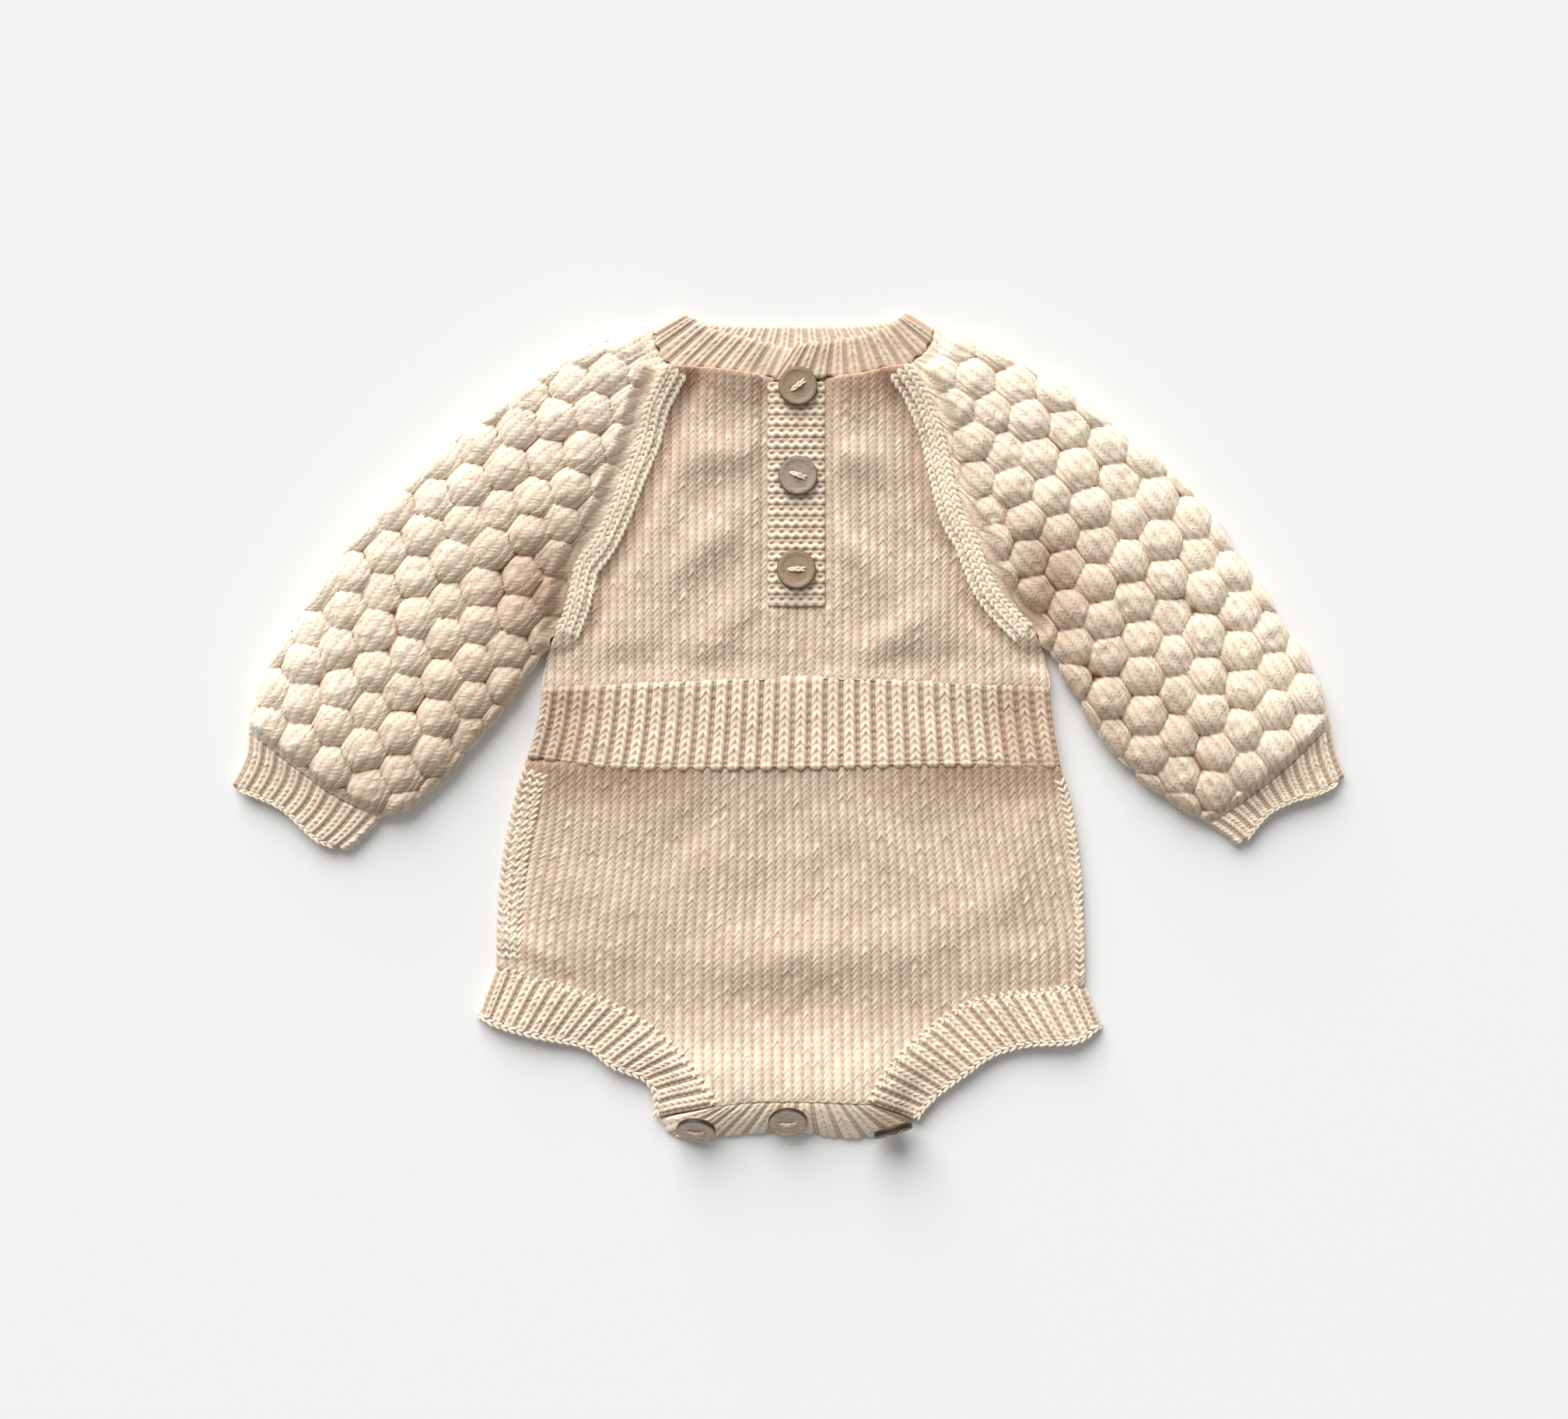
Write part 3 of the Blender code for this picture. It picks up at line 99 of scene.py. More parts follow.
# A broad window low beyond the neck, a little to the left, as a sun as wide as the window looks from here.
window = bpy.data.lights.new("window", "SUN")
window.angle = math.radians(54)
window.energy = 4.25
window_lamp = bpy.data.objects.new("window", window)
window_lamp.rotation_euler = Vector((-0.28, 0.84, 0.56)).to_track_quat("Z", "Y").to_euler()
bpy.context.scene.collection.objects.link(window_lamp)

room = bpy.data.worlds.new("soft_room")
room.use_nodes = True
room.node_tree.nodes["Background"].inputs["Color"].default_value = linear("#FFFFFF")
room.node_tree.nodes["Background"].inputs["Strength"].default_value = 0.3
bpy.context.scene.world = room
bpy.context.scene.view_settings.view_transform = "Standard"

# ---------------------------------------------------------------- front of the brief
# Plain stockinette in a soft plied cotton, knitted from the neck down, so each stitch stands on its two legs.
# It lies on the back layer in soft folds and rises at the buttoned crotch.
MIDDLE = np.array([0.55, -0.69, 0.0])  # middle of the garment in the coordinates below
BACK_WALL, LEVEL, WALL = 2.0, 2.3, 2.2  # back layer, height of the front layer's underside, front layer
WALE, ROW = 4.14, 2.95  # width and height of one stitch, 24 stitches and 34 rows in 100 mm
WAIST_LOW = [(-120, -15.4), (-97.9, -18.7), (-68.8, -21.2), (1.4, -21.2), (71.6, -19.8), (103.7, -20.5),
             (126.2, -20.4)]
BRIEF_SIDE = {
    "left": [(-120, -15.4), (-125.3, -32.8), (-130.7, -58.3), (-133.2, -84.2), (-133.9, -112)],
    "right": [(126.2, -20.4), (130.9, -36), (135.4, -66.2), (136.8, -91.8), (137.2, -120.6)]}
LEG = {
    "left": [(-133.9, -112), (-106.2, -120.2), (-83.2, -127.8), (-65.2, -138.2), (-49.7, -150.8),
             (-39.2, -163.8), (-32.8, -174.2)],
    "right": [(137.2, -120.6), (112.3, -123.8), (89.3, -126.7), (68.8, -138.2), (50.8, -153.7), (42, -165),
              (37.8, -173)]}
CROTCH_TOP = [(-32.8, -174.2), (-18.7, -172.3), (0, -172), (20.9, -172.3), (37.8, -173)]
# Soft folds of the front, which lift both of its faces: x, y, length, width, turn in degrees, height.
FOLDS = [
    (-62, 100, 70, 13, 68, 0.9),
    (66, 96, 70, 12, -72, 0.8),
    (-36, 118, 40, 20, 80, 0.5),
    (42, 60, 46, 9, -28, 0.9),
    (70, 40, 40, 8, 40, 1),
    (-62, 46, 48, 10, 24, 0.8),
    (-20, 34, 60, 9, 6, 0.6),
    (-40, 88, 38, 9, -12, 0.6),
    (40, 96, 36, 10, 14, 0.5),
    (-94, 34, 40, 9, 70, 1.1),
    (102, 34, 34, 9, -66, 1),
    (-60, -62, 90, 16, -10, 0.9),
    (56, -70, 84, 15, 12, 0.9),
    (0, -104, 120, 18, 2, 0.8),
    (-92, -102, 50, 9, -22, 1.3),
    (104, -106, 44, 9, 12, 1.2),
    (34, -132, 44, 9, 26, 0.6),
    (-28, -136, 36, 9, -20, 0.6),
]
# Creases of the outside alone, in the same order; a trough has a negative height.
DRAPE = [
    (-29.5, 125, 42, 9, 6, 3.7),
    (-38, 82, 56, 9, 41, 3.4),
    (-30, 44, 46, 8, 47, 2.2),
    (33.5, 122, 44, 9, -8, 3.7),
    (31, 79, 42, 8, -37, 3.1),
    (54, 44, 52, 8, 34, 3.1),
    (2, 15.5, 230, 9, 1, 3.4),
    (-100, 2, 44, 8, 74, -3),
    (104, 6, 40, 8, -74, -2.4),
    (66, -8, 40, 7, -40, 2.1),
    (-116, -104, 44, 6, -24, 2.5),
    (-104, -128, 40, 6, -24, 2.2),
    (8, -107, 92, 13, 4, 3.1),
    (-78, -84, 70, 14, -14, 1.8),
    (74, -92, 70, 12, 30, 2.2),
    (104, -70, 80, 12, 68, 2.1),
    (-48, -52, 40, 9, 60, -1.6),
    (-6, -66, 44, 9, 85, -1.5),
    (44, -60, 50, 10, -30, 1.3),
]


def smooth(t):
    """0 below t = 0, 1 above t = 1, and 3 t^2 - 2 t^3 between."""
    t = np.clip(t, 0.0, 1.0)
    return t * t * (3.0 - 2.0 * t)


def bell(t, power=2):
    """1 at t = 0 and less on both sides of it: e to the power of minus |t| ^ power."""
    return np.exp(-np.abs(t) ** power)


def curve(points, count):
    """count points at equal distances along the Catmull-Rom curve through the points."""
    p = np.asarray(points, float)
    p = np.vstack([2 * p[0] - p[1], p, 2 * p[-1] - p[-2]])
    t = np.linspace(0, 1, 25)[:-1, None]
    parts = []
    for k in range(1, len(p) - 2):
        a, b, c, d = p[k - 1], p[k], p[k + 1], p[k + 2]
        parts.append(0.5 * (2 * b + (c - a) * t + (2 * a - 5 * b + 4 * c - d) * t**2
                            + (3 * b - a - 3 * c + d) * t**3))
    dense = np.vstack(parts + [p[-2:-1]])
    run = np.concatenate([[0], np.cumsum(np.linalg.norm(np.diff(dense, axis=0), axis=1))])
    at = np.linspace(0, run[-1], count)
    return np.stack([np.interp(at, run, dense[:, k]) for k in range(p.shape[1])], 1)


def line(points, step=4.0):
    """The curve through the points with a point about every step."""
    length = np.linalg.norm(np.diff(np.asarray(points), axis=0), axis=1).sum()
    return curve(points, max(2, int(round(length / step)) + 1))


def outline(*parts):
    """One closed line from curves that follow each other."""
    return np.vstack([part[:-1] for part in parts])


def distance_to(path, x, y):
    """Distance in the plane from each (x, y) to an open path: the least distance to any of its segments."""
    at = np.stack([np.asarray(x, float).ravel(), np.asarray(y, float).ravel()], 1)
    a, b = path[None, :-1], path[None, 1:]
    nearest = []
    for some in np.array_split(at, max(1, len(at) * len(path) // 2_000_000)):
        away = some[:, None, :] - a
        along = np.clip((away * (b - a)).sum(2) / ((b - a) ** 2).sum(2), 0, 1)
        nearest.append(np.linalg.norm(away - (b - a) * along[..., None], axis=2).min(1))
    return np.concatenate(nearest).reshape(np.shape(x))


def is_inside(ring, points):
    """True for each point inside the closed line."""
    a, b = ring, np.roll(ring, -1, 0)
    x, y = points[:, :1], points[:, 1:]
    crosses = (a[:, 1] > y) != (b[:, 1] > y)
    rise = np.where(np.abs(b[:, 1] - a[:, 1]) < 1e-9, 1e-9, b[:, 1] - a[:, 1])
    return (crosses & (x < a[:, 0] + (b[:, 0] - a[:, 0]) * (y - a[:, 1]) / rise)).sum(1) % 2 == 1


def look_up(table, row, column):
    """Values between the entries of a table, weighted by how near they are on each axis."""
    row = np.clip(row, 0, table.shape[0] - 1.001)
    column = np.clip(column, 0, table.shape[1] - 1.001)
    i, j = row.astype(int), column.astype(int)
    u, v = row - i, column - j
    return ((table[i, j] * (1 - v) + table[i, j + 1] * v) * (1 - u)
            + (table[i + 1, j] * (1 - v) + table[i + 1, j + 1] * v) * u)


class Outline:
    """Distance to a closed line, positive inside, kept on a fine grid and read between its points."""

    def __init__(self, ring, grow=0.0, step=1.2, margin=9.0):
        self.step, self.ring = step, ring
        self.low = ring.min(0) - margin
        count = np.ceil((ring.max(0) + margin - self.low) / step).astype(int) + 1
        y, x = np.meshgrid(*(self.low[k] + step * np.arange(count[k]) for k in (1, 0)), indexing="ij")
        far = distance_to(np.vstack([ring, ring[:1]]), x, y)
        inside = [is_inside(ring, np.stack([xs, ys], 1)) for xs, ys in zip(x, y)]
        self.table = np.where(np.array(inside), far, -far) + grow

    def depth(self, x, y):
        """How far inside the line each point is."""
        return look_up(self.table, (y - self.low[1]) / self.step, (x - self.low[0]) / self.step)

    def inward(self, x, y):
        """The direction in which the depth grows, as a unit vector."""
        h = self.step
        way = np.stack([self.depth(x + h, y) - self.depth(x - h, y),
                        self.depth(x, y + h) - self.depth(x, y - h)], -1)
        return way / np.maximum(np.linalg.norm(way, axis=-1, keepdims=True), 1e-6)


def unevenness(x, y, size, seed):
    """Soft random height from -1 to 1: random numbers size apart, joined by smooth steps."""
    table = np.random.default_rng(seed).uniform(-1, 1, (64, 64))
    u, v = x / size + 500.37, y / size + 500.71
    i, j = np.floor(u).astype(int), np.floor(v).astype(int)
    a, b = smooth(u - i), smooth(v - j)
    i, j, p, q = i % 64, j % 64, (i + 1) % 64, (j + 1) % 64
    return (table[i, j] * (1 - b) + table[i, q] * b) * (1 - a) + (table[p, j] * (1 - b) + table[p, q] * b) * a


def folds(x, y, table=FOLDS):
    """Height of the soft folds: a bell across each fold's width and along its length."""
    total = np.zeros(np.shape(x))
    for cx, cy, length, width, turn, height in table:
        c, s = math.cos(math.radians(turn)), math.sin(math.radians(turn))
        along, across = (x - cx) * c + (y - cy) * s, (y - cy) * c - (x - cx) * s
        total = total + height * bell(2 * along / length) * bell(across / width)
    return total


def crotch_rise(x, y):
    """Height of the bulge that ends in the buttoned crotch: from y = -128 down, and higher at its sides."""
    off = x - 2.0
    full = 7.6 + 1.6 * smooth((np.abs(off) - 14.0) / 26.0)
    return full * smooth((-128.0 - y) / 42.0) * bell(off / 66.0, 4)


# One stockinette stitch: shares of its width, how far each point hangs below the top of the arch in rows, the
# strand's height there, how much of it belongs to one row and how deep the pit between the rows is. The ply's
# twist slants the left leg, which stands out, and leaves the right one nearly upright.
STITCH_ACROSS = np.array([0.0, 0.12, 0.27, 0.43, 0.58, 0.72, 0.86])
STITCH_DROP = np.array([1.06, 0.84, 0.52, 0.20, 0.0, 0.34, 0.80])
STITCH_HEIGHT = np.array([0.60, 0.78, 1.0, 1.0, 0.82, 0.76, 0.70])
STITCH_ROUND = np.array([0.0, 0.6, 1.0, 1.0, 0.8, 0.35, 0.2])
STITCH_PIT = np.array([0.74, 0.36, 0.0, 0.0, 0.0, 0.0, 0.32])
STRAND_ROWS = np.array([0.0, 0.25, 0.5, 0.75])
STRAND_HEIGHT = np.array([0.38, 0.86, 1.0, 0.82])
PIT_ROWS = np.array([1.0, 0.35, 0.0, 0.35])


def stitches(wales, rows, seed):
    """Grid of stockinette over ranges of wales and rows: (wale, row, height 0 to 1) of each point.

    The lines of the grid follow the slanting legs: each point hangs below its row by the drop of its column.
    """
    rng = np.random.default_rng(seed)
    wale = (np.arange(*wales)[:, None] + STITCH_ACROSS[None]).ravel()
    row = (np.arange(*rows)[:, None] + STRAND_ROWS[None]).ravel()
    wales, rows = wales[1] - wales[0], rows[1] - rows[0]
    drop, across, own, pit = (np.tile(a, wales)[None]
                              for a in (STITCH_DROP, STITCH_HEIGHT, STITCH_ROUND, STITCH_PIT))
    ridge, hole = np.tile(STRAND_HEIGHT, rows)[:, None], np.tile(PIT_ROWS, rows)[:, None]
    # No two stitches are alike: each is a little higher, lower or longer than its neighbours.
    i, j = np.meshgrid(np.arange(len(row)) // len(STRAND_ROWS), np.arange(len(wale)) // len(STITCH_ACROSS),
                       indexing="ij")
    tall = 1.0 + 0.15 * rng.normal(size=(rows, wales))[i, j]
    shift = 0.07 * rng.normal(size=(rows, wales))[i, j] + 0.06 * rng.normal(size=wales)[j]
    height = (across * (0.45 + 0.55 * (own * ridge + (1 - own) * 0.8)) - pit * hole) * tall
    edge = np.sin(np.pi * np.tile(STITCH_ACROSS, wales))[None]
    return (np.broadcast_to(wale, height.shape) + 0.05 * rng.normal(size=wales)[j] * edge,
            row[:, None] + drop + shift * edge, np.clip(height, 0.0, 1.4))


def quads(rows, columns, wrap=False):
    """Corner numbers of the quads of a grid of points stored row by row."""
    i, j = np.meshgrid(np.arange(rows - 1), np.arange(columns if wrap else columns - 1), indexing="ij")
    a, b = i * columns + j, i * columns + (j + 1) % columns
    return np.stack([a, b, b + columns, a + columns], -1).reshape(-1, 4)


def normals(grid):
    """Unit normals of a smooth grid of points: the cross product of its two directions."""
    normal = np.cross(np.gradient(grid, axis=1), np.gradient(grid, axis=0))
    return normal / np.maximum(np.linalg.norm(normal, axis=2, keepdims=True), 1e-9)


def rim(faces):
    """The closed loops of a mesh's open edges, each as corner numbers in the order of its faces."""
    start, end = faces.ravel(), np.roll(faces, -1, 1).ravel()
    size = int(faces.max()) + 1
    open_edge = ~np.isin(start * size + end, end * size + start)
    follow = dict(zip(start[open_edge].tolist(), end[open_edge].tolist()))
    loops = []
    while follow:
        first, at = follow.popitem()
        loop = [first]
        while at != first and at in follow:
            loop.append(at)
            at = follow.pop(at)
        loops.append(np.array(loop))
    return sorted(loops, key=len)


def trim(plan, border):
    """Cuts a grid of plan points to an outline: drops what lies outside, moves the last points onto the line.

    Returns the moved plan and the quads that stay.
    """
    depth = border.depth(plan[..., 0], plan[..., 1])
    faces = quads(*plan.shape[:2])
    kept = faces[(depth.ravel()[faces] > 0.05).any(1)]
    moved = plan.copy()
    for _ in range(3):
        out = np.minimum(border.depth(moved[..., 0], moved[..., 1]), 0.0)
        moved = moved - border.inward(moved[..., 0], moved[..., 1]) * np.maximum(out, -8.0)[..., None]
    return moved, kept


def miter(ring, distance):
    """The closed line moved inward by the distance, each point along the bisector of its corner."""
    ahead = np.roll(ring, -1, 0) - ring
    ahead /= np.linalg.norm(ahead, axis=1)[:, None]
    behind = np.roll(ahead, 1, 0)
    side = np.stack([-ahead[:, 1] - behind[:, 1], ahead[:, 0] + behind[:, 0]], 1)
    side /= np.linalg.norm(side, axis=1)[:, None]
    open_up = np.clip((side * np.stack([-ahead[:, 1], ahead[:, 0]], 1)).sum(1), 0.5, 1.0)
    return ring + side * (distance / open_up)[:, None]


def fill(ring, spacing, holes=()):
    """Flat filling of a closed line with points about spacing apart: (inner points, triangles).

    Triangles count the ring's points first, then the inner ones, then those of the holes, which stay open.
    """
    low, high = ring.min(0), ring.max(0)
    x, y = np.meshgrid(np.arange(low[0], high[0], spacing), np.arange(low[1], high[1], spacing * 0.87))
    x = x + spacing / 2 * (np.arange(len(x)) % 2)[:, None]
    inner = np.stack([x.ravel(), y.ravel()], 1)
    inner = inner[is_inside(ring, inner)]
    if len(inner):
        for loop in (ring, *holes):
            inner = inner[distance_to(np.vstack([loop, loop[:1]]), *inner.T) > 0.4 * spacing]
    for hole in holes:
        inner = inner[~is_inside(hole, inner)]
    inner = np.vstack([inner, *holes])
    together = np.vstack([ring, inner])
    starts = np.cumsum([len(together) - sum(map(len, holes)), *map(len, holes)])
    edges = [(first + k, first + (k + 1) % len(loop))
             for first, loop in zip((0, *starts), (ring, *holes)) for k in range(len(loop))]
    result = delaunay_2d_cdt([Vector(p) for p in together.tolist()], edges, [], 1, 1e-7)
    first = [sources[0] for sources in result[3]]
    corners = np.array([[first[k] for k in face] for face in result[2]])
    a, b, c = (together[corners[:, k]] for k in range(3))
    turned = (b - a)[:, 0] * (c - a)[:, 1] - (b - a)[:, 1] * (c - a)[:, 0] < 0
    corners[turned] = corners[turned][:, ::-1]
    for hole in holes:
        corners = corners[~is_inside(hole, together[corners].mean(1))]
    return inner, corners


def zipped(upper, ring):
    """Triangles between a closed row of plan points and a closed line below it.

    Both run anticlockwise. Each row point is placed by its nearest point on the line, and the edges of the
    two are taken in turn in that order. Corners below len(upper) belong to the row, the others to the line.
    """
    a, b = ring[None], np.roll(ring, -1, 0)[None]
    size = np.linalg.norm(b - a, axis=2)
    run = np.concatenate([[0], np.cumsum(size[0])])
    away = upper[:, None] - a
    along = np.clip((away * (b - a)).sum(2) / size**2, 0, 1)
    near = np.argmin(np.linalg.norm(away - (b - a) * along[..., None], axis=2), 1)
    at = run[near] + along[np.arange(len(upper)), near] * size[0, near]
    at = np.unwrap(at, period=run[-1])
    at = np.minimum(np.maximum.accumulate(at), at[0] + run[-1])
    first = int(np.searchsorted(run[:-1], at[0] % run[-1])) % len(ring)
    order = (first + np.arange(len(ring) + 1)) % len(ring)
    place = np.unwrap(run[order], period=run[-1])
    place += np.ceil((at[0] - place[0]) / run[-1] - 1e-9) * run[-1]
    at = np.append(at, at[0] + run[-1])
    key_a, key_b = (at[1:] + at[:-1]) / 2, (place[1:] + place[:-1]) / 2
    i, j = np.arange(len(upper)), np.arange(len(ring))
    of_a = order[np.searchsorted(key_b, key_a, "left")] + len(upper)
    of_b = np.searchsorted(key_a, key_b, "right") % len(upper)
    return np.vstack([np.stack([(i + 1) % len(upper), i, of_a], 1),
                      np.stack([order[j] + len(upper), order[j + 1] + len(upper), of_b], 1)])


def close_below(points, strand, faces, border, steps, foot, low, spacing):
    """Closes an upward sheet below its rim, down to the closed line foot.

    steps are (distance inward, share of the rim's height above the underside) of rows on the way; low gives
    the underside's height at any (x, y), which is filled with points about spacing apart.
    """
    loops = rim(faces)
    all_faces = faces.tolist() + [loop[::-1].tolist() for loop in loops[:-1]]
    before = loops[-1]
    edge = points[before]
    all_points, total = [points], len(points)
    for inward, share in steps:
        ring = edge.copy()
        ring[:, :2] += border.inward(edge[:, 0], edge[:, 1]) * inward
        floor_z = low(*ring[:, :2].T)
        ring[:, 2] = floor_z + (edge[:, 2] - floor_z) * share
        now = total + np.arange(len(ring))
        all_points.append(ring)
        total += len(ring)
        a, b, c, d = before, np.roll(before, -1), now, np.roll(now, -1)
        all_faces += np.stack([b, a, c, d], 1).tolist()
        before = now
    inner, corners = fill(foot, spacing)
    under = np.vstack([foot, inner])
    all_points.append(np.column_stack([under, low(*under.T)]))
    between = zipped(np.vstack(all_points[:-1])[before][:, :2], foot)
    number = np.concatenate([before, total + np.arange(len(foot))])
    all_faces += number[between].tolist() + (corners[:, ::-1] + total).tolist()
    points = np.vstack(all_points)
    return points, np.concatenate([strand, np.full(len(points) - len(strand), 0.75)]), all_faces


def chain(path, up, pitch, lean, size, reach, seed):
    """Pairs of slanting strands that lie along a path like the links of a plait.

    up is the outward direction at each point of the path, lean the slant in degrees, size the length, width
    and height of a strand, and reach how far its middle lies beside the path. Returns (points, strand
    tones, faces): each strand is painted lighter on top and darker below, as painted shade.
    """
    rng = np.random.default_rng(seed)
    run = np.concatenate([[0], np.cumsum(np.linalg.norm(np.diff(path, axis=0), axis=1))])
    count = max(int(round(run[-1] / pitch)), 2)
    at = (np.arange(count) + 0.5) * run[-1] / count
    place, above = (np.stack([np.interp(at, run, part[:, k]) for k in range(3)], 1) for part in (path, up))
    ahead = np.gradient(place, axis=0)
    ahead /= np.linalg.norm(ahead, axis=1)[:, None]
    aside = np.cross(above, ahead)
    aside /= np.linalg.norm(aside, axis=1)[:, None]
    above = np.cross(ahead, aside)
    t, a = np.linspace(-0.98, 0.98, 8)[:, None], np.linspace(0, 2 * np.pi, 8, endpoint=False)[None]
    thick = np.sqrt(1 - t**2) ** 0.8
    along, over, out = t + 0 * a, thick * np.cos(a), thick * np.sin(a)
    one = quads(8, 8, True).tolist() + [list(range(7, -1, -1)), list(range(56, 64))]
    points, strand, faces = [], [], []
    for side in (-1, 1):
        turn = math.radians(lean) * (1 + 0.12 * rng.normal(size=(count, 1)))
        axis = ahead * np.cos(turn) + side * aside * np.sin(turn)
        flank = np.cross(above, axis)
        grow = 1 + 0.08 * rng.normal(size=(count, 1, 1, 1))
        middle = place + side * aside * reach
        leaf = (middle[:, None, None] + grow * (axis[:, None, None] * (along[..., None] * size[0] / 2)
                + flank[:, None, None] * (over[..., None] * size[1] / 2)
                + above[:, None, None] * (out[..., None] * size[2] / 2)))
        first = sum(map(len, points))
        points.append(leaf.reshape(-1, 3))
        # Painted shade: each strand's colour is lighter on its upper side and darker on its lower side.
        strand.append(np.tile((0.72 + 0.3 * out).ravel(), count))
        faces += [[k + first + 64 * n for k in face] for n in range(count) for face in one]
    return np.vstack(points), np.concatenate(strand), faces


def laid(line_points, height, lift=0.0):
    """Plan points at a surface's height, and the upright direction at each."""
    z = height(line_points[:, 0], line_points[:, 1]) + lift
    return np.column_stack([line_points, z]), np.tile([0.0, 0.0, 1.0], (len(line_points), 1))


def beside(path, distance):
    """An open plan path moved to its left by the distance."""
    way = np.gradient(path, axis=0)
    way /= np.linalg.norm(way, axis=1)[:, None]
    return path + np.stack([-way[:, 1], way[:, 0]], 1) * distance


def make_piece(name, parts, looks, node):
    """looks are the materials of the parts in turn, and the last one goes on.
    """
    points = (np.vstack([part[0] for part in parts]) - MIDDLE) / 1000.0
    strand = np.concatenate([part[1] for part in parts])
    faces, look_of, first = [], [], 0
    for number, part in enumerate(parts):
        these = part[2].tolist() if isinstance(part[2], np.ndarray) else part[2]
        faces += [[k + first for k in face] for face in these] if first else these
        look_of.append(np.full(len(these), min(number, len(looks) - 1), np.int32))
        first += len(part[0])
    mesh = bpy.data.meshes.new(name)
    mesh.from_pydata(points.tolist(), [], faces)
    for look in looks:
        mesh.materials.append(look)
    mesh.polygons.foreach_set("material_index", np.concatenate(look_of))
    mesh.polygons.foreach_set("use_smooth", np.ones(len(mesh.polygons), bool))
    # The strand attribute is each point's tone, which carries painted shade and painted light.
    mesh.attributes.new("strand", "FLOAT", "POINT").data.foreach_set("value", strand.astype(np.float32))
    solid = bmesh.new()
    solid.from_mesh(mesh)
    bmesh.ops.triangulate(solid, faces=[f for f in solid.faces if len(f.verts) > 4])
    if solid.calc_volume(signed=True) < 0:
        bmesh.ops.reverse_faces(solid, faces=solid.faces)
    solid.to_mesh(mesh)
    solid.free()
    mesh.update()
    piece = bpy.data.objects.new(name, mesh)
    bpy.context.scene.collection.objects.link(piece)
    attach(piece, "root")
    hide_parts(node)
    return piece


def cotton(name, painted_shade_tone, face, flat_pattern=False):
    """Cotton yarn: colour runs from the painted shade tone between strands to the face tone on their crests.

    The fibre noise is 0.5 mm across and the mottling, from uneven tension, about 14 mm.
    """
    made, out = new_material(name)
    tree = made.node_tree
    place = add(tree, "ShaderNodeTexCoord").outputs["Object"]
    if flat_pattern:
        # Rows of slanting legs: a wave along the wale whose phase runs back from the wale's middle, which
        # paints shade into the gullies between the legs and drives the bump. Each entry is a new value, how it
        # is worked out, and from which values or numbers.
        parts = add(tree, "ShaderNodeSeparateXYZ", {0: place})
        values = {"x": parts.outputs["X"], "y": parts.outputs["Y"]}
        for result, operation, *given in (
                ("across", "MULTIPLY", "x", 1000.0 / WALE), ("share", "FRACT", "across"),
                ("off", "SUBTRACT", "share", 0.5), ("wide", "ABSOLUTE", "off"),
                ("slant", "MULTIPLY", "wide", 2.1), ("along", "MULTIPLY_ADD", "y", 1000.0 / ROW, "slant"),
                ("turn", "MULTIPLY", "along", 2 * math.pi), ("wave", "SINE", "turn"),
                ("ridge", "MULTIPLY_ADD", "wave", 0.32, 0.5), ("gully", "MULTIPLY", "wide", 2 * math.pi),
                ("leg", "SINE", "gully"), ("strand", "MULTIPLY", "ridge", "leg")):
            inputs = {k: values.get(value, value) for k, value in enumerate(given)}
            values[result] = add(tree, "ShaderNodeMath", inputs, operation=operation).outputs[0]
        strand = values["strand"]
    else:
        strand = add(tree, "ShaderNodeAttribute", attribute_name="strand").outputs["Fac"]
    # Painted shade: where the strand value is low the colour runs toward the shade tone.
    tone = add(tree, "ShaderNodeMapRange", {"Value": strand, "From Min": 0.0, "From Max": 1.05})
    colour = add(tree, "ShaderNodeMix", {"Factor": tone.outputs[0], "A": linear(painted_shade_tone), "B": linear(face)},
                 data_type="RGBA")
    tints = []
    for per_metre, dark, light in ((70.0, 0.95, 1.03), (1900.0, 0.94, 1.05)):
        noise = add(tree, "ShaderNodeTexNoise", {"Vector": place, "Scale": per_metre, "Detail": 2.0})
        tints.append(add(tree, "ShaderNodeMapRange", {"Value": noise.outputs["Fac"], "From Min": 0.3,
                                                      "From Max": 0.7, "To Min": dark, "To Max": light}))
    fibre = noise.outputs["Fac"]
    both = add(tree, "ShaderNodeMath", {0: tints[0].outputs[0], 1: tints[1].outputs[0]}, operation="MULTIPLY")
    shade = add(tree, "ShaderNodeMix", {"Factor": 1.0, "A": colour.outputs["Result"], "B": both.outputs[0]},
                data_type="RGBA", blend_type="MULTIPLY")
    height = add(tree, "ShaderNodeMath", {0: fibre, 1: 0.25 if flat_pattern else 1.0}, operation="MULTIPLY")
    if flat_pattern:
        height = add(tree, "ShaderNodeMath", {0: strand, 1: 3.0, 2: height.outputs[0]},
                     operation="MULTIPLY_ADD")
    bump = add(tree, "ShaderNodeBump", {"Height": height.outputs[0], "Strength": 0.5, "Distance": 0.0003})
    shader = add(tree, "ShaderNodeBsdfPrincipled", {
        "Base Color": shade.outputs["Result"], "Roughness": 0.95, "Specular IOR Level": 0.15,
        "Sheen Weight": 0.25, "Sheen Roughness": 0.5, "Normal": bump.outputs[0]})
    tree.links.new(shader.outputs["BSDF"], out.inputs["Surface"])
    return made


# Combed cotton, plied and matt: the eye sees round strands with warm shade between them, painted into the
# colour as the shade tone. Where the yarn lies flat below, its stitches and the painted shade between them
# are drawn by the material.
cotton_knit = cotton("combed_cotton_knit", "#A37A5E", "#FFEFD8")
cotton_flat = cotton("combed_cotton_underside", "#B5917A", "#F2E2CA", flat_pattern=True)


def edge_round(depth, width):
    """Height share near a rim: a quarter ellipse from 0 on the line to 1 at width inside it."""
    return np.sqrt(np.maximum(0.0, 1.0 - (1.0 - np.clip(depth / width, 0, 1)) ** 2))


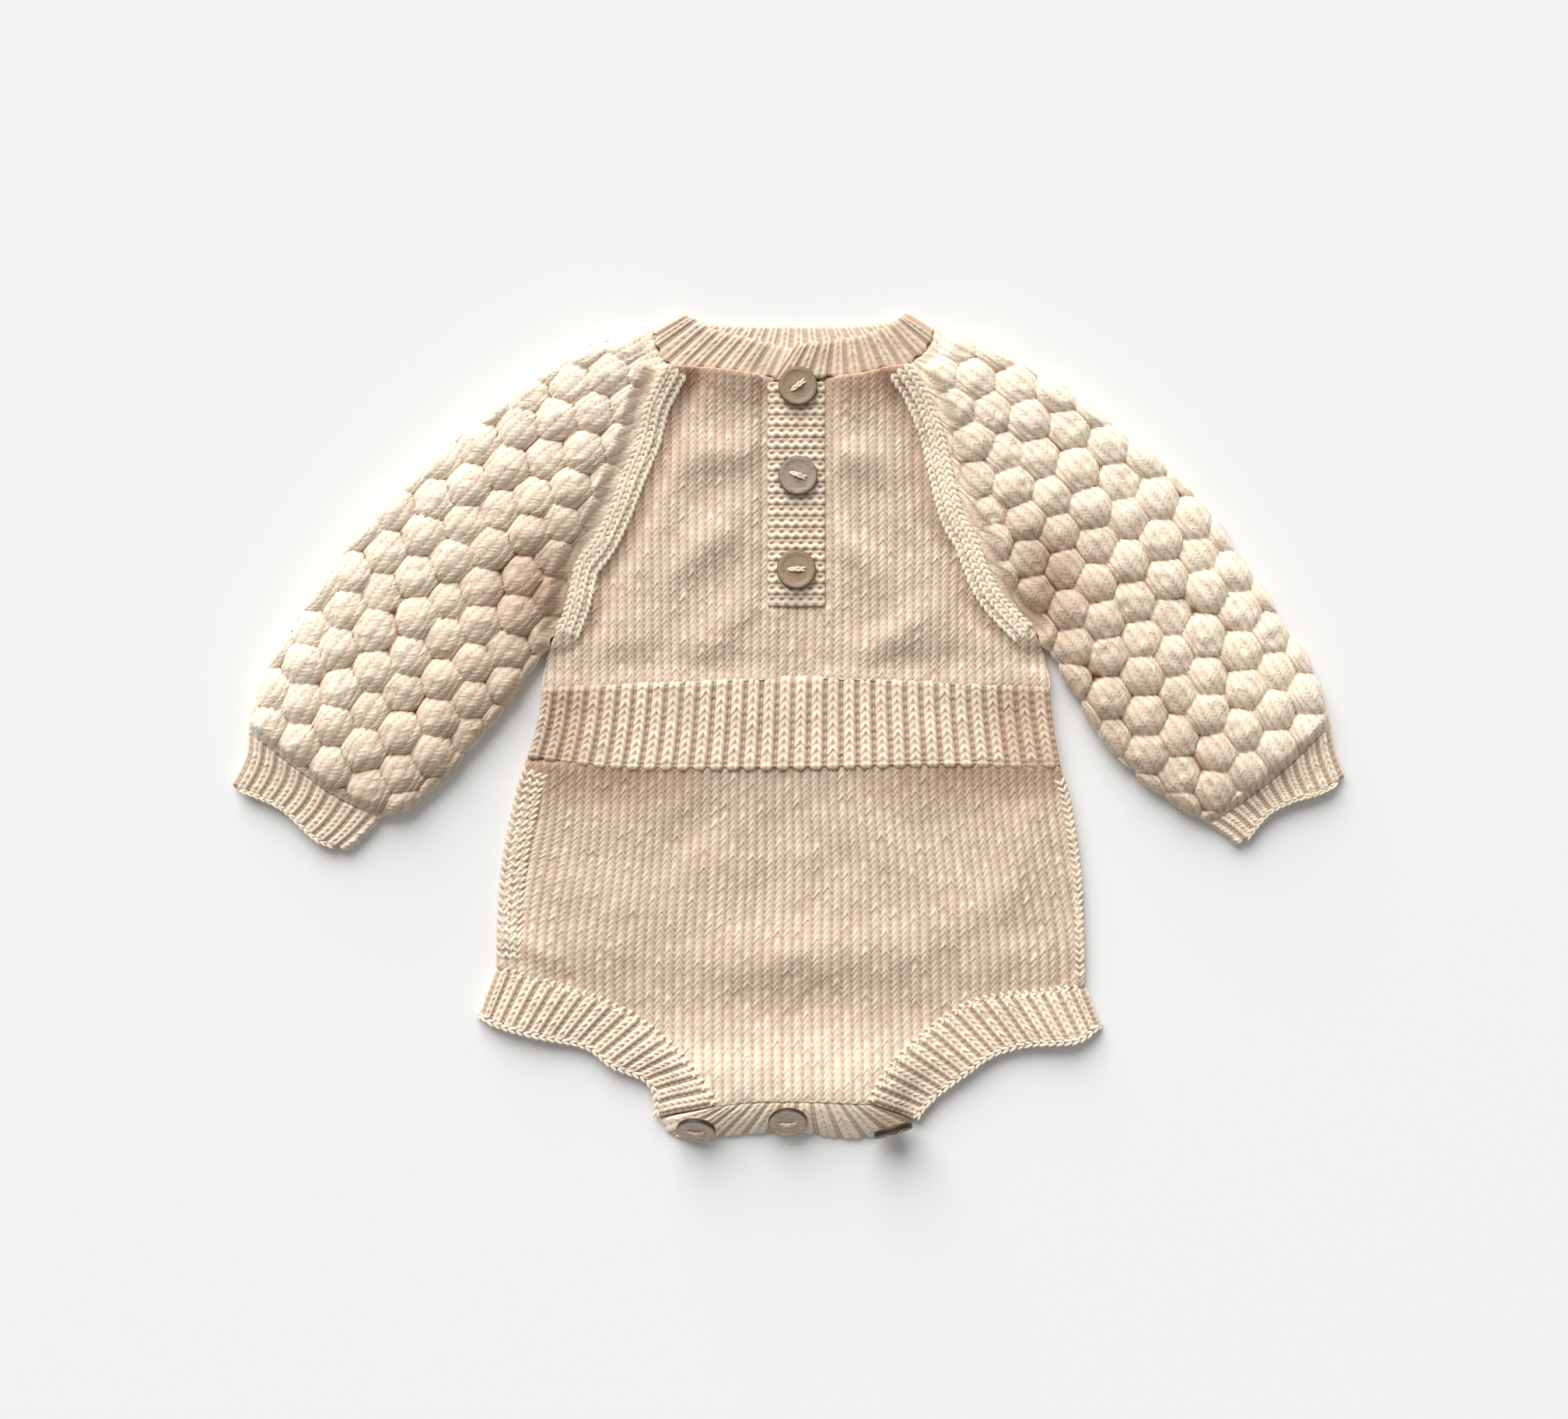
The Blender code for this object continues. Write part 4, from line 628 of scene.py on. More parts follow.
def panel(border, wales, rows, place, low, top, shade, seed, relief=0.9, even=0.2, steps=(), foot=None,
          spacing=9.0):
    """A knitted sheet cut to an outline: (points, strand tones, faces).

    place turns (wale, row) into plan points; top and low give its two faces at any (x, y), and shade the
    painted shade and painted light of the yarn there. The tone is painted shade, darker in the pits of each
    stitch; even is the part of it that every point of a stitch has. steps, foot and spacing are how the sheet
    is closed below.
    """
    wale, row, height = stitches(wales, rows, seed)
    plan, faces = trim(place(wale, row), border)
    x, y = plan[..., 0], plan[..., 1]
    base = np.concatenate([plan, top(x, y)[..., None]], 2)
    normal = normals(base)
    normal *= np.sign(normal[..., 2].sum())
    lift = (height - 0.5) * relief * smooth(0.35 + border.depth(x, y) / 1.5)
    points = (base + normal * lift[..., None]).reshape(-1, 3)
    used, faces = np.unique(faces, return_inverse=True)
    # Painted shade: the tone darkens in each stitch's pits and where shade is low, and lightens where it is
    # above 1.
    tone = (even + (1 - even) * height) * shade(x, y)
    tone = np.maximum(tone, 0.85 * (1 - smooth(border.depth(x, y) / 1.4)))  # no dark line along the rim
    points, strand, faces = points[used], tone.ravel()[used], faces.reshape(-1, 4)
    corners = points[faces[:, :3]]
    if np.cross(corners[:, 1] - corners[:, 0], corners[:, 2] - corners[:, 0])[:, 2].sum() < 0:
        faces = faces[:, ::-1]
    foot = miter(border.ring, 0.5) if foot is None else foot
    return close_below(points, strand, faces, border, steps, foot, low, spacing)


def brief_low(x, y):
    """Underside of the brief: flat down to y = -24, under the waistband, and raised by the folds below."""
    return LEVEL + folds(x, y) * smooth((-24.0 - y) / 16.0) + crotch_rise(x, y)


BRIEF_MIDDLE, BRIEF_START = 3.0, -16.0  # x of the middle wale, y of the first row


def brief_place(wale, row):
    """The wales spread by a tenth from waist to leg, and the rows are pulled up at the left."""
    x, y = wale * WALE, BRIEF_START - row * ROW
    spread = 1.0 + 0.10 * smooth((-18.0 - y) / 100.0)
    pull = 0.0022 * np.minimum(x * spread + 53.0, 0.0) ** 2 * smooth((-26.0 - y) / 60.0)
    return np.stack([BRIEF_MIDDLE + x * spread + 0.8 * unevenness(x, y, 40.0, 5),
                     y + pull + 0.7 * unevenness(x, y, 34.0, 6)], -1)


brief_upper = curve([(x * 0.994, y + 2.6) for x, y in WAIST_LOW], 110)
brief_border = Outline(outline(
    np.vstack([brief_upper[:1], line(BRIEF_SIDE["left"])[1:]]), line(LEG["left"]), line(CROTCH_TOP),
    line(LEG["right"])[::-1], np.vstack([line(BRIEF_SIDE["right"])[:0:-1], brief_upper[-1:]]),
    brief_upper[::-1]), 0.6)


def brief_side_distance(x, y):
    """Distance from the nearer side seam of the brief."""
    return np.minimum(*(distance_to(line(BRIEF_SIDE[side]), x, y) for side in ("left", "right")))


def brief_top(x, y):
    """Outside of the brief: the wall's thickness over its underside, rounded at the sides.

    The wall has the small hollows and swells of a resting knit, a gully beside the side seams, and the
    fullness that hangs over under the waistband, most at its two ends.
    """
    swell = 0.45 * unevenness(x, y, 17.0, 3) + 0.3 * unevenness(x, y, 9.0, 4) + folds(x, y, DRAPE)
    from_side = brief_side_distance(x, y)
    gully = -0.6 * bell((from_side - 11.4) / 2.0)
    ends = 0.55 + 0.45 * smooth(np.abs(x - BRIEF_MIDDLE) / 90.0)
    blouse = 2.5 * ends * bell(np.maximum(-19.0 - y, 0.0) / 15.0, 1.4)
    wall = WALL + (swell + gully) * smooth((-30.0 - y) / 14.0) + blouse * smooth((-14.5 - y) / 4.0)
    # The rim is only rounded at the sides: the leg and crotch bands grow out of it.
    rim_share = np.maximum(edge_round(brief_border.depth(x, y), 2.0),
                           0.85 * smooth((from_side - 5.0) / 6.0) * smooth((-40.0 - y) / 10.0))
    return brief_low(x, y) + wall * (0.35 + 0.65 * rim_share)


def brief_shade(x, y):
    """Painted shade where the yarn lies in the shade of the waistband, most at its two ends, and painted light
    on the crotch bulge.
    """
    bulge = 0.24 * smooth((-136.0 - y) / 18.0) - 0.08 * bell((y + 120.0) / 15.0)
    ends = 0.25 + 0.85 * smooth((np.abs(x - BRIEF_MIDDLE) - 20.0) / 60.0)
    return 0.80 - 0.42 * ends * bell(np.maximum(-21.0 - y, 0.0) / 15.0, 1.6) + bulge


brief = panel(brief_border, (-34, 35), (-2, 58), brief_place, brief_low, brief_top, brief_shade, 11)
# The side seams show as columns of open loops that hang toward the leg: three at the left, one at the right,
# which is turned under further.
side_loops = []
for side, columns in (("left", ((2.4, 1.0), (6.0, 0.95), (9.4, 0.8))), ("right", ((-2.0, 0.8),))):
    seam_line = line(BRIEF_SIDE[side])[1:-1]
    for seed, (distance, share) in enumerate(columns, 12):
        column = laid(beside(seam_line, distance)[::-1], brief_top, -0.1)
        size = tuple(share * k for k in (4.9, 1.9, 1.7))
        side_loops.append(chain(*column, 4.1 * share, 38.0, size, 1.25 * share, seed))
make_piece("front_brief_knit", [brief, *side_loops], [cotton_knit], "front_brief")

# ---------------------------------------------------------------- front of the bodice
# The same stockinette between the raglan seams, with a notch for the placket. It is drawn down a little
# beside the raglans and climbs to the neckband.
RAGLAN = {
    "left": [(-54.7, 165.2), (-63.7, 148.3), (-68.4, 131), (-75.2, 115.2), (-80.3, 101.5), (-88.6, 84.6),
             (-95.8, 75.6), (-98.6, 65.5), (-100.8, 55.8), (-105.5, 43.9)],
    "right": [(55.4, 165.6), (64.1, 151.9), (71.3, 133.9), (74.9, 117.7), (80.3, 97.2), (86.4, 86.4),
              (90.7, 74.9), (96.1, 63), (102.6, 55.1), (112.3, 45.4)]}
BODICE_SIDE = {"left": [(-105.5, 43.9), (-110.2, 31.7), (-112.7, 16.4)],
               "right": [(112.3, 45.4), (118.1, 33.1), (121, 17)]}
WAIST_TOP = [(-112.7, 16.4), (-83.5, 18.2), (-60.5, 19.2), (5.8, 22), (51.1, 20.5), (85.7, 18.7),
             (121, 17)]
NECK_LOW = {"left": [(-54.7, 165.2), (-43, 164.8), (-26.3, 163.4), (-9, 160.4)],
            "right": [(17.6, 159.8), (33.1, 161.6), (46, 164.6), (55.4, 165.6)]}
NOTCH_LEFT, NOTCH_RIGHT, NOTCH_LOW = -6.4, 15.4, 57.4
BODICE_MIDDLE, BODICE_START = 4.5, 172.0  # x of the middle wale and of the placket, y of the first row


def bodice_low(x, y):
    """The bodice lies flat under the placket and rises in soft folds beside it."""
    beside_placket = smooth((np.abs(x - BODICE_MIDDLE) - 13.5) / 14.0)
    below = smooth((NOTCH_LOW - 3.0 - y) / 12.0)
    return LEVEL + folds(x, y) * np.maximum(beside_placket, below)


def bodice_place(wale, row):
    """Rows fall a little to the right up to the placket and are level beyond it."""
    x, y = wale * WALE, BODICE_START - row * (ROW * 0.95)
    tilt = -0.055 * (np.clip(x, -60.0, 32.0) + 14.0)
    return np.stack([BODICE_MIDDLE + x + 0.8 * unevenness(x, y, 40.0, 15),
                     y + tilt + 0.7 * unevenness(x, y, 34.0, 16)], -1)


bodice_border = Outline(outline(
    line(RAGLAN["left"]), line(BODICE_SIDE["left"]), line(WAIST_TOP), line(BODICE_SIDE["right"])[::-1],
    line(RAGLAN["right"])[::-1], line(NECK_LOW["right"])[::-1],
    line([(17.6, 159.8), (NOTCH_RIGHT, 157.0), (NOTCH_RIGHT, 107.0), (NOTCH_RIGHT, NOTCH_LOW)]),
    line([(NOTCH_RIGHT, NOTCH_LOW), (4.5, NOTCH_LOW), (NOTCH_LEFT, NOTCH_LOW)]),
    line([(NOTCH_LEFT, NOTCH_LOW), (NOTCH_LEFT, 107.0), (NOTCH_LEFT, 157.0), (-9.0, 160.4)]),
    line(NECK_LOW["left"])[::-1]), 0.8)
neck_line = np.vstack([line(NECK_LOW["left"], 6.0), line(NECK_LOW["right"], 6.0)])


def raglan_distance(x, y):
    """Distance from the nearer raglan seam."""
    return np.minimum(*(distance_to(line(RAGLAN[side], 8.0), x, y) for side in ("left", "right")))


def bodice_top(x, y):
    """Outside of the bodice: the wall's thickness over its underside, rounded except at the waistband.

    The wall has the small swells of a resting knit and its creases, a ridge along each raglan and a gully
    inside that, and climbs to the neckband on both sides of the placket.
    """
    from_raglan, from_placket = raglan_distance(x, y), np.abs(x - BODICE_MIDDLE)
    clear = smooth((from_placket - 13.0) / 9.0 + smooth((NOTCH_LOW - y) / 8.0))
    swell = (0.45 * unevenness(x, y, 17.0, 13) + 0.3 * unevenness(x, y, 9.0, 14)
             + (1.3 * smooth((y - 25.0) / 14.0) + folds(x, y, DRAPE)) * clear
             - 2.6 * bell((from_raglan - 14.5) / 5.5) + 1.3 * bell(from_raglan / 7.0))
    climb = 5.2 * bell(distance_to(neck_line, x, y) / 16.0, 1.5) * smooth((from_placket - 13.5) / 8.0)
    wall = np.maximum(WALL + swell + climb, 0.9)
    rim_share = np.maximum(edge_round(bodice_border.depth(x, y), 2.0), 0.9 * smooth((27.0 - y) / 3.0))
    return bodice_low(x, y) + wall * (0.35 + 0.65 * rim_share)


def bodice_shade(x, y):
    """Painted shade where the yarn lies in the shade of the neckband and in the gullies beside the raglans."""
    seam = bell((raglan_distance(x, y) - 11.5) / 6.0)
    collar = bell(distance_to(neck_line, x, y) / 15.0, 2.5)
    return 0.82 - 0.32 * seam * smooth((y - 20.0) / 30.0) - 0.42 * collar


bodice = panel(bodice_border, (-30, 30), (-1, 57), bodice_place, bodice_low, bodice_top, bodice_shade, 21)
# Columns of slanting strands follow each raglan seam, where the stitches of body and sleeve lean together.
raglans = []
for side, inward in (("left", 1.0), ("right", -1.0)):
    for seed, distance in enumerate((0.9, 4.6, 8.2), 22):
        column = laid(beside(line(RAGLAN[side]), distance * inward), bodice_top, -0.1)
        raglans.append(chain(*column, 3.1, 24.0, (4.4, 2.1, 1.5), 0.95, seed))
make_piece("front_bodice_knit", [bodice, *raglans], [cotton_knit], "front_bodice")

# ---------------------------------------------------------------- back layer
# The back of the bodice, waist and brief lies flat on the surface under the front and hardly shows.
WAIST_SIDE = {"left": [(-112.7, 16.4), (-115.6, -0.8), (-120, -15.4)],
              "right": [(121, 17), (122.7, 0.2), (126.2, -20.4)]}
NECK_BACK = [(63.4, 173.2), (52, 171.4), (30, 170.6), (3, 170.4), (-24, 170.6), (-46, 171.4),
             (-59.4, 173.2)]
BACK_CROTCH = [(-32.8, -174.2), (-29, -177.8), (-14, -178.8), (2, -178.8), (20, -178.8), (34, -177.6),
               (37.8, -173)]


def surface(x, y):
    """Height of the surface that the garment lies on."""
    return 0.0 * x


def plain_sheet(ring, height):
    """A flat closed sheet with a rounded rim: (points, strand heights, faces)."""
    border = Outline(ring)
    inner, corners = fill(ring, 12.0)
    plan = np.vstack([ring, inner])
    points = np.column_stack([plan, np.full(len(plan), height)])
    points[:len(ring), 2] = 0.6 * height
    foot = miter(ring, 0.4)
    return close_below(points, np.full(len(points), 0.5), corners, border, ((-0.1, 0.4),), foot, surface,
                       14.0)


back_bodice = plain_sheet(outline(
    line(RAGLAN["left"]), line(BODICE_SIDE["left"]), line(WAIST_TOP),
    line(BODICE_SIDE["right"])[::-1], line(RAGLAN["right"])[::-1],
    line([(55.4, 165.6), (60.6, 169.6), (63.4, 173.2)], 3.0), line(NECK_BACK),
    line([(-59.4, 173.2), (-58.2, 169.6), (-54.7, 165.2)], 3.0)), BACK_WALL)
make_piece("back_bodice_knit", [back_bodice], [cotton_flat], "back_bodice")
back_waist = plain_sheet(outline(
    line(WAIST_SIDE["left"]), line(WAIST_LOW), line(WAIST_SIDE["right"])[::-1],
    line(WAIST_TOP)[::-1]), BACK_WALL)
make_piece("back_waistband_knit", [back_waist], [cotton_flat], "waistband_back")
back_brief = plain_sheet(outline(
    line(BRIEF_SIDE["left"]), line(LEG["left"]), line(BACK_CROTCH), line(LEG["right"])[::-1],
    line(BRIEF_SIDE["right"])[::-1], line(WAIST_LOW)[::-1]), BACK_WALL)
make_piece("back_brief_knit", [back_brief], [cotton_flat], "back_brief")

# ---------------------------------------------------------------- waistband
# One-by-one ribbing: a plump column of knit stitches, then a narrow purl column with a hole in every row.
RIB_HEIGHT, LINING_ROWS = 1.5, 5  # relief in mm, rows of points on a rib's plain inner side
# One rib: shares of its width, drop of the arch in rows, height between the rows and its gain on them. The
# fourth is the groove between the two legs, and the last three are the purl column, a gully with holes.
RIB_GROOVE = 0.36
RIB_ACROSS = np.array([0.0, 0.10, 0.23, RIB_GROOVE, 0.49, 0.62, 0.73, 0.80, 0.87, 0.94])
RIB_DROP = np.array([1.0, 0.74, 0.40, 0.06, 0.40, 0.74, 1.0, 0.9, 0.7, 0.8])
RIB_LOW = np.array([0.05, 0.30, 0.34, -0.34, 0.34, 0.30, 0.02, -0.78, -0.24, -0.78])
RIB_GAIN = np.array([0.30, 0.62, 0.68, 0.92, 0.68, 0.60, 0.30, 0.70, 0.74, 0.70])


def sample(grid, row, column):
    """Points between those of a grid, on Catmull-Rom curves along both of its directions."""
    padded = np.pad(grid, ((1, 1), (1, 1), (0, 0)), mode="reflect", reflect_type="odd")
    i = np.clip(np.floor(row).astype(int), 0, grid.shape[0] - 2)
    j = np.clip(np.floor(column).astype(int), 0, grid.shape[1] - 2)
    u, v = (row - i)[..., None], (column - j)[..., None]
    along, across = (0.5 * np.concatenate([-t + 2 * t**2 - t**3, 2 - 5 * t**2 + 3 * t**3,
                                           t + 4 * t**2 - 3 * t**3, t**3 - t**2], -1) for t in (u, v))
    k = np.arange(4)
    near = padded[i[..., None, None] + k[:, None], j[..., None, None] + k[None]]
    return np.einsum("...p,...q,...pqc->...c", along, across, near)


def rib_stitches(ribs, rows, seed, taut=0.0):
    """Grid of one-by-one ribbing: (rib, row, height, tone), rows from 0 to rows at the two edges. The tone is
    painted shade, darker in the groove between the legs and darkest in the purl holes.

    Where the rib is taut, from 0 to 1, its stitches draw out into two smooth cords with a groove between.
    """
    rng = np.random.default_rng(seed)
    rib = np.append((np.arange(ribs)[:, None] + RIB_ACROSS[None]).ravel(), ribs)
    row = np.append((np.arange(rows)[:, None] + STRAND_ROWS[None]).ravel(), rows)
    drop, low, gain = (np.append(np.tile(a, ribs), a[0])[None] for a in (RIB_DROP, RIB_LOW, RIB_GAIN))
    ridge = np.append(np.tile(STRAND_HEIGHT, rows), 0.0)[:, None]
    i = np.minimum(np.arange(len(row)) // len(STRAND_ROWS), rows - 1)[:, None]
    j = np.minimum(np.arange(len(rib)) // len(RIB_ACROSS), ribs - 1)[None]
    tall = 1.0 + 0.12 * rng.normal(size=(rows, ribs))[i, j]
    held = np.clip(np.minimum(row, rows - row) / 1.6, 0, 1)[:, None]
    shift = 0.08 * rng.normal(size=ribs)[j] + 0.05 * rng.normal(size=(rows, ribs))[i, j]
    gain, low = gain * (1 - 0.55 * taut), low + 0.45 * gain * taut
    low = low - 0.25 * taut * np.append(np.tile((RIB_ACROSS == RIB_GROOVE).astype(float), ribs), 0.0)[None]
    height = (low + gain * ridge) * tall
    # The knit columns end in a loop at each edge, and the purl columns stop a little short of it.
    short = 0.22 * (1 - np.cos(2 * np.pi * (rib[None] - RIB_GROOVE)))
    at = np.clip(row[:, None] + (drop - 0.5 + shift) * held, 0, rows)
    near_edge = 0.15 * np.clip(1 - at / 2, 0, 1) ** 2 - np.clip(1 - (rows - at) / 2, 0, 1) ** 2
    # Painted shade: the tone follows the height, so grooves, purl gullies and holes are darker.
    return (rib[None] + 0 * height, at + short * near_edge, height,
            np.clip(0.34 + 0.74 * height, 0.30 * taut, 1.3))


def rib_phase(*stretches):
    """Number of ribs up to each column of a grid, from (steps, ribs in each step) of its stretches."""
    return np.concatenate([[0.0], np.cumsum(np.concatenate([np.full(*stretch) for stretch in stretches]))])


def sheet_faces(rows, low_rows, columns):
    """Faces of a closed sheet: a grid of rows x columns over one of low_rows x columns, joined all round."""
    first = rows * columns
    top = np.arange(first).reshape(rows, columns)
    low = first + np.arange(low_rows * columns).reshape(low_rows, columns)
    faces = quads(rows, columns).tolist() + (quads(low_rows, columns)[:, ::-1] + first).tolist()
    faces += np.stack([top[0, :-1], low[0, :-1], low[0, 1:], top[0, 1:]], 1).tolist()
    faces += np.stack([top[-1, 1:], low[-1, 1:], low[-1, :-1], top[-1, :-1]], 1).tolist()
    ends = (top[:, 0], low[::-1, 0]), (top[::-1, -1], low[:, -1])
    return faces + [np.concatenate(end).tolist() for end in ends]


def ribbed(outer, inner, phase, rows, seed, relief=RIB_HEIGHT, mask=1.0, taut=0.0, shade=1.0):
    """A closed ribbed sheet between two coarse grids: (points, strand tones, faces).

    phase gives the number of ribs up to each column of the grids, mask the share of the relief there and
    shade the painted shade and painted light of the yarn. The inner side stays plain.
    """
    ribs = int(round(phase[-1]))
    rib, row, height, tone = rib_stitches(ribs, rows, seed, taut)
    column = np.interp(rib, phase, np.arange(len(phase)))
    at = row / rows * (len(outer) - 1)
    base, under = sample(outer, at, column), sample(inner, at, column)
    normal = normals(base)
    normal *= np.sign((normal * (base - under)).sum())
    ends = np.clip(np.minimum(row, rows - row) / 0.7, 0.0, 1.0)
    mask, shade = (np.interp(rib, phase, np.broadcast_to(part, len(phase))) for part in (mask, shade))
    gain = relief * (0.5 + 0.5 * ends) * mask
    face = base + normal * (height * gain)[..., None] - normal * (0.5 * (1 - ends))[..., None]
    under = under[np.linspace(0, len(base) - 1, LINING_ROWS).round().astype(int)]
    r, c = base.shape[:2]
    # Painted shade and light: each point's tone times shade.
    return (np.vstack([face.reshape(-1, 3), under.reshape(-1, 3)]),
            np.concatenate([(tone * shade).ravel(), np.full(LINING_ROWS * c, 0.75)]),
            sheet_faces(r, LINING_ROWS, c))


def patch(low, high, left, right, rows, columns):
    """Points of a four-sided patch, row 0 on low and the last row on high, between the side curves."""
    u, v = np.linspace(0, 1, columns)[None, :, None], np.linspace(0, 1, rows)[:, None, None]
    bottom, top = curve(low, columns)[None], curve(high, columns)[None]
    west, east = curve(left, rows)[:, None], curve(right, rows)[:, None]
    corners = ((1 - u) * (1 - v) * bottom[:, :1] + u * (1 - v) * bottom[:, -1:]
               + (1 - u) * v * top[:, :1] + u * v * top[:, -1:])
    return (1 - v) * bottom + v * top + (1 - u) * west + u * east - corners


def raised(plan, z):
    """Plan points of a grid with their heights."""
    return np.concatenate([plan, np.broadcast_to(z, plan.shape[:2])[..., None]], 2)


WAIST_RIBS = 32
waist_steps = np.arange(WAIST_RIBS * 3 + 1)
waist_plan = patch(WAIST_LOW, WAIST_TOP, WAIST_SIDE["left"][::-1], WAIST_SIDE["right"][::-1], 4,
                   len(waist_steps))[::-1]
waist_plan[0, :, 1] += 0.9  # the top row meets the bodice
waist_x, waist_y = waist_plan[..., 0], waist_plan[..., 1]
waist_in = LEVEL + np.array([0.1, 0.6, 1.7, 2.6])[:, None] + 0.5 * folds(waist_x, waist_y)
waist_out = waist_in + np.maximum(2.3 + 0.35 * unevenness(waist_x, waist_y, 19.0, 33)
                                  + 0.7 * folds(waist_x, waist_y, DRAPE), 1.2)
# The yarn is painted darker near both ends, as painted shade of a fold there.
waist_shade = 0.94 - 0.42 * bell((np.minimum(waist_steps, waist_steps[::-1]) - 5) / 8.0)
waistband = ribbed(raised(waist_plan, waist_out), raised(waist_plan, waist_in), waist_steps / 3, 11, 31,
                   shade=waist_shade)
make_piece("front_waistband_knit", [waistband], [cotton_knit], "waistband_front")

# ---------------------------------------------------------------- sleeves
# Balloon sleeves in bubble stitch: pillows of stockinette in staggered rows, drawn in at the pits between
# them. Each is one folded tube: its upper layer rolls round to the flat under layer at shoulder and underarm.
BUBBLE_ACROSS, BUBBLE_ALONG, BUBBLE_HEIGHT = 17.9, 15.9, 6.2
SLEEVE_WALE, SLEEVE_ROW = BUBBLE_ACROSS / 5, BUBBLE_ALONG / 6
FOLD_LEVEL = 4.2  # height of the widest line of a sleeve's folded edges
ARMPIT = {"left": (-114.0, 68.0), "right": (120.0, 69.0)}
SLEEVE_AXIS = {
    "left": [(-55.4, 177.1), (-85.3, 156.6), (-112.3, 133.2), (-137.2, 107.3), (-160.2, 79.6), (-182.2, 51.1),
             (-202.7, 21.6), (-222.5, -8.3), (-242, -38)],
    "right": [(61, 177.1), (90.5, 157.6), (117.6, 134.6), (142.4, 108.7), (164.9, 80.8), (185.8, 51.8),
              (205.4, 22), (224.3, -7.9), (242.6, -37.6)]}
SHOULDER = {
    "left": [(-62.6, 181.6), (-81.7, 177), (-103.7, 168), (-122, 155.6), (-139.7, 142.6), (-165.2, 121.6),
             (-191.2, 95.4), (-209.2, 74), (-222, 54.8), (-234.2, 36.2), (-243.2, 18.4), (-248.2, -3.4)],
    "right": [(69, 181.8), (86, 177.6), (104, 168.6), (122, 158), (143.3, 143.2), (168.5, 124.6),
              (191.9, 101.2), (208.1, 77.8), (222.3, 57), (235.8, 35.8), (245, 18), (250.6, -0.4)]}
UNDERARM = {
    "left": [(-105.5, 43.9), (-116.3, 28.1), (-131.8, 6.6), (-147.2, -11.4), (-160.2, -26), (-173.5, -37),
             (-188.3, -42.5)],
    "right": [(112.3, 45.4), (121.7, 31.4), (135.7, 10.5), (145.8, -7.6), (159.5, -22), (179.3, -35.9),
              (195.5, -45.4)]}
WRIST = {"left": [(-248.2, -3.4), (-229, -18), (-208, -33), (-188.3, -42.5)],
         "right": [(250.6, -0.4), (233, -17.5), (214, -33), (195.5, -45.4)]}
NECK_SEAM = {"left": [(-62.6, 181.6), (-60.3, 173), (-54.7, 165.2)],
             "right": [(69, 181.8), (64.5, 172.8), (55.4, 165.6)]}


def bubbles(down, across):
    """(height of the bubble stitch from 0 to 1, share of the crease there).

    The height is that of the highest of the domes near each point. They stand in staggered rows, wider
    toward the neck, each a little off its place and size. A groove runs where two are equally high, and three
    leave a pit between them.
    """
    rng = np.random.default_rng(7)
    place_d, place_a, tall = (rng.normal(size=(40, 40)) * k for k in (0.07, 0.075, 0.12))
    highest, second = np.zeros(np.shape(down)), np.zeros(np.shape(down))
    first = np.floor(down / BUBBLE_ALONG).astype(int)
    for step in (0, 1):
        r = first + step
        shift = (r % 2) / 2
        middle = np.round(across / BUBBLE_ACROSS - shift).astype(int)
        for side in (-1, 0, 1):
            c = middle + side
            d = (down / BUBBLE_ALONG - r - place_d[r % 40, c % 40]) / 0.76
            a = across / BUBBLE_ACROSS - shift - c - place_a[r % 40, c % 40]
            a = a / (0.64 - 0.08 * np.clip(d, -1, 1))
            dome = np.clip(1 - (a**2 + d**2), 0, 1) ** 0.62 * (1 + tall[r % 40, c % 40])
            second = np.maximum(second, np.minimum(dome, highest))
            highest = np.maximum(highest, dome)
    crease = bell((highest - second) / 0.11)
    return highest - 0.09 * crease + 0.09 * unevenness(down, across, 4.2, 9), crease


def inset(ring, distance):
    """The closed line with each point moved inward by the distance, one number or one for each point."""
    way = np.roll(ring, -1, 0) - np.roll(ring, 1, 0)
    way /= np.linalg.norm(way, axis=1)[:, None]
    return ring + np.stack([-way[:, 1], way[:, 0]], 1) * np.broadcast_to(distance, len(ring))[:, None]


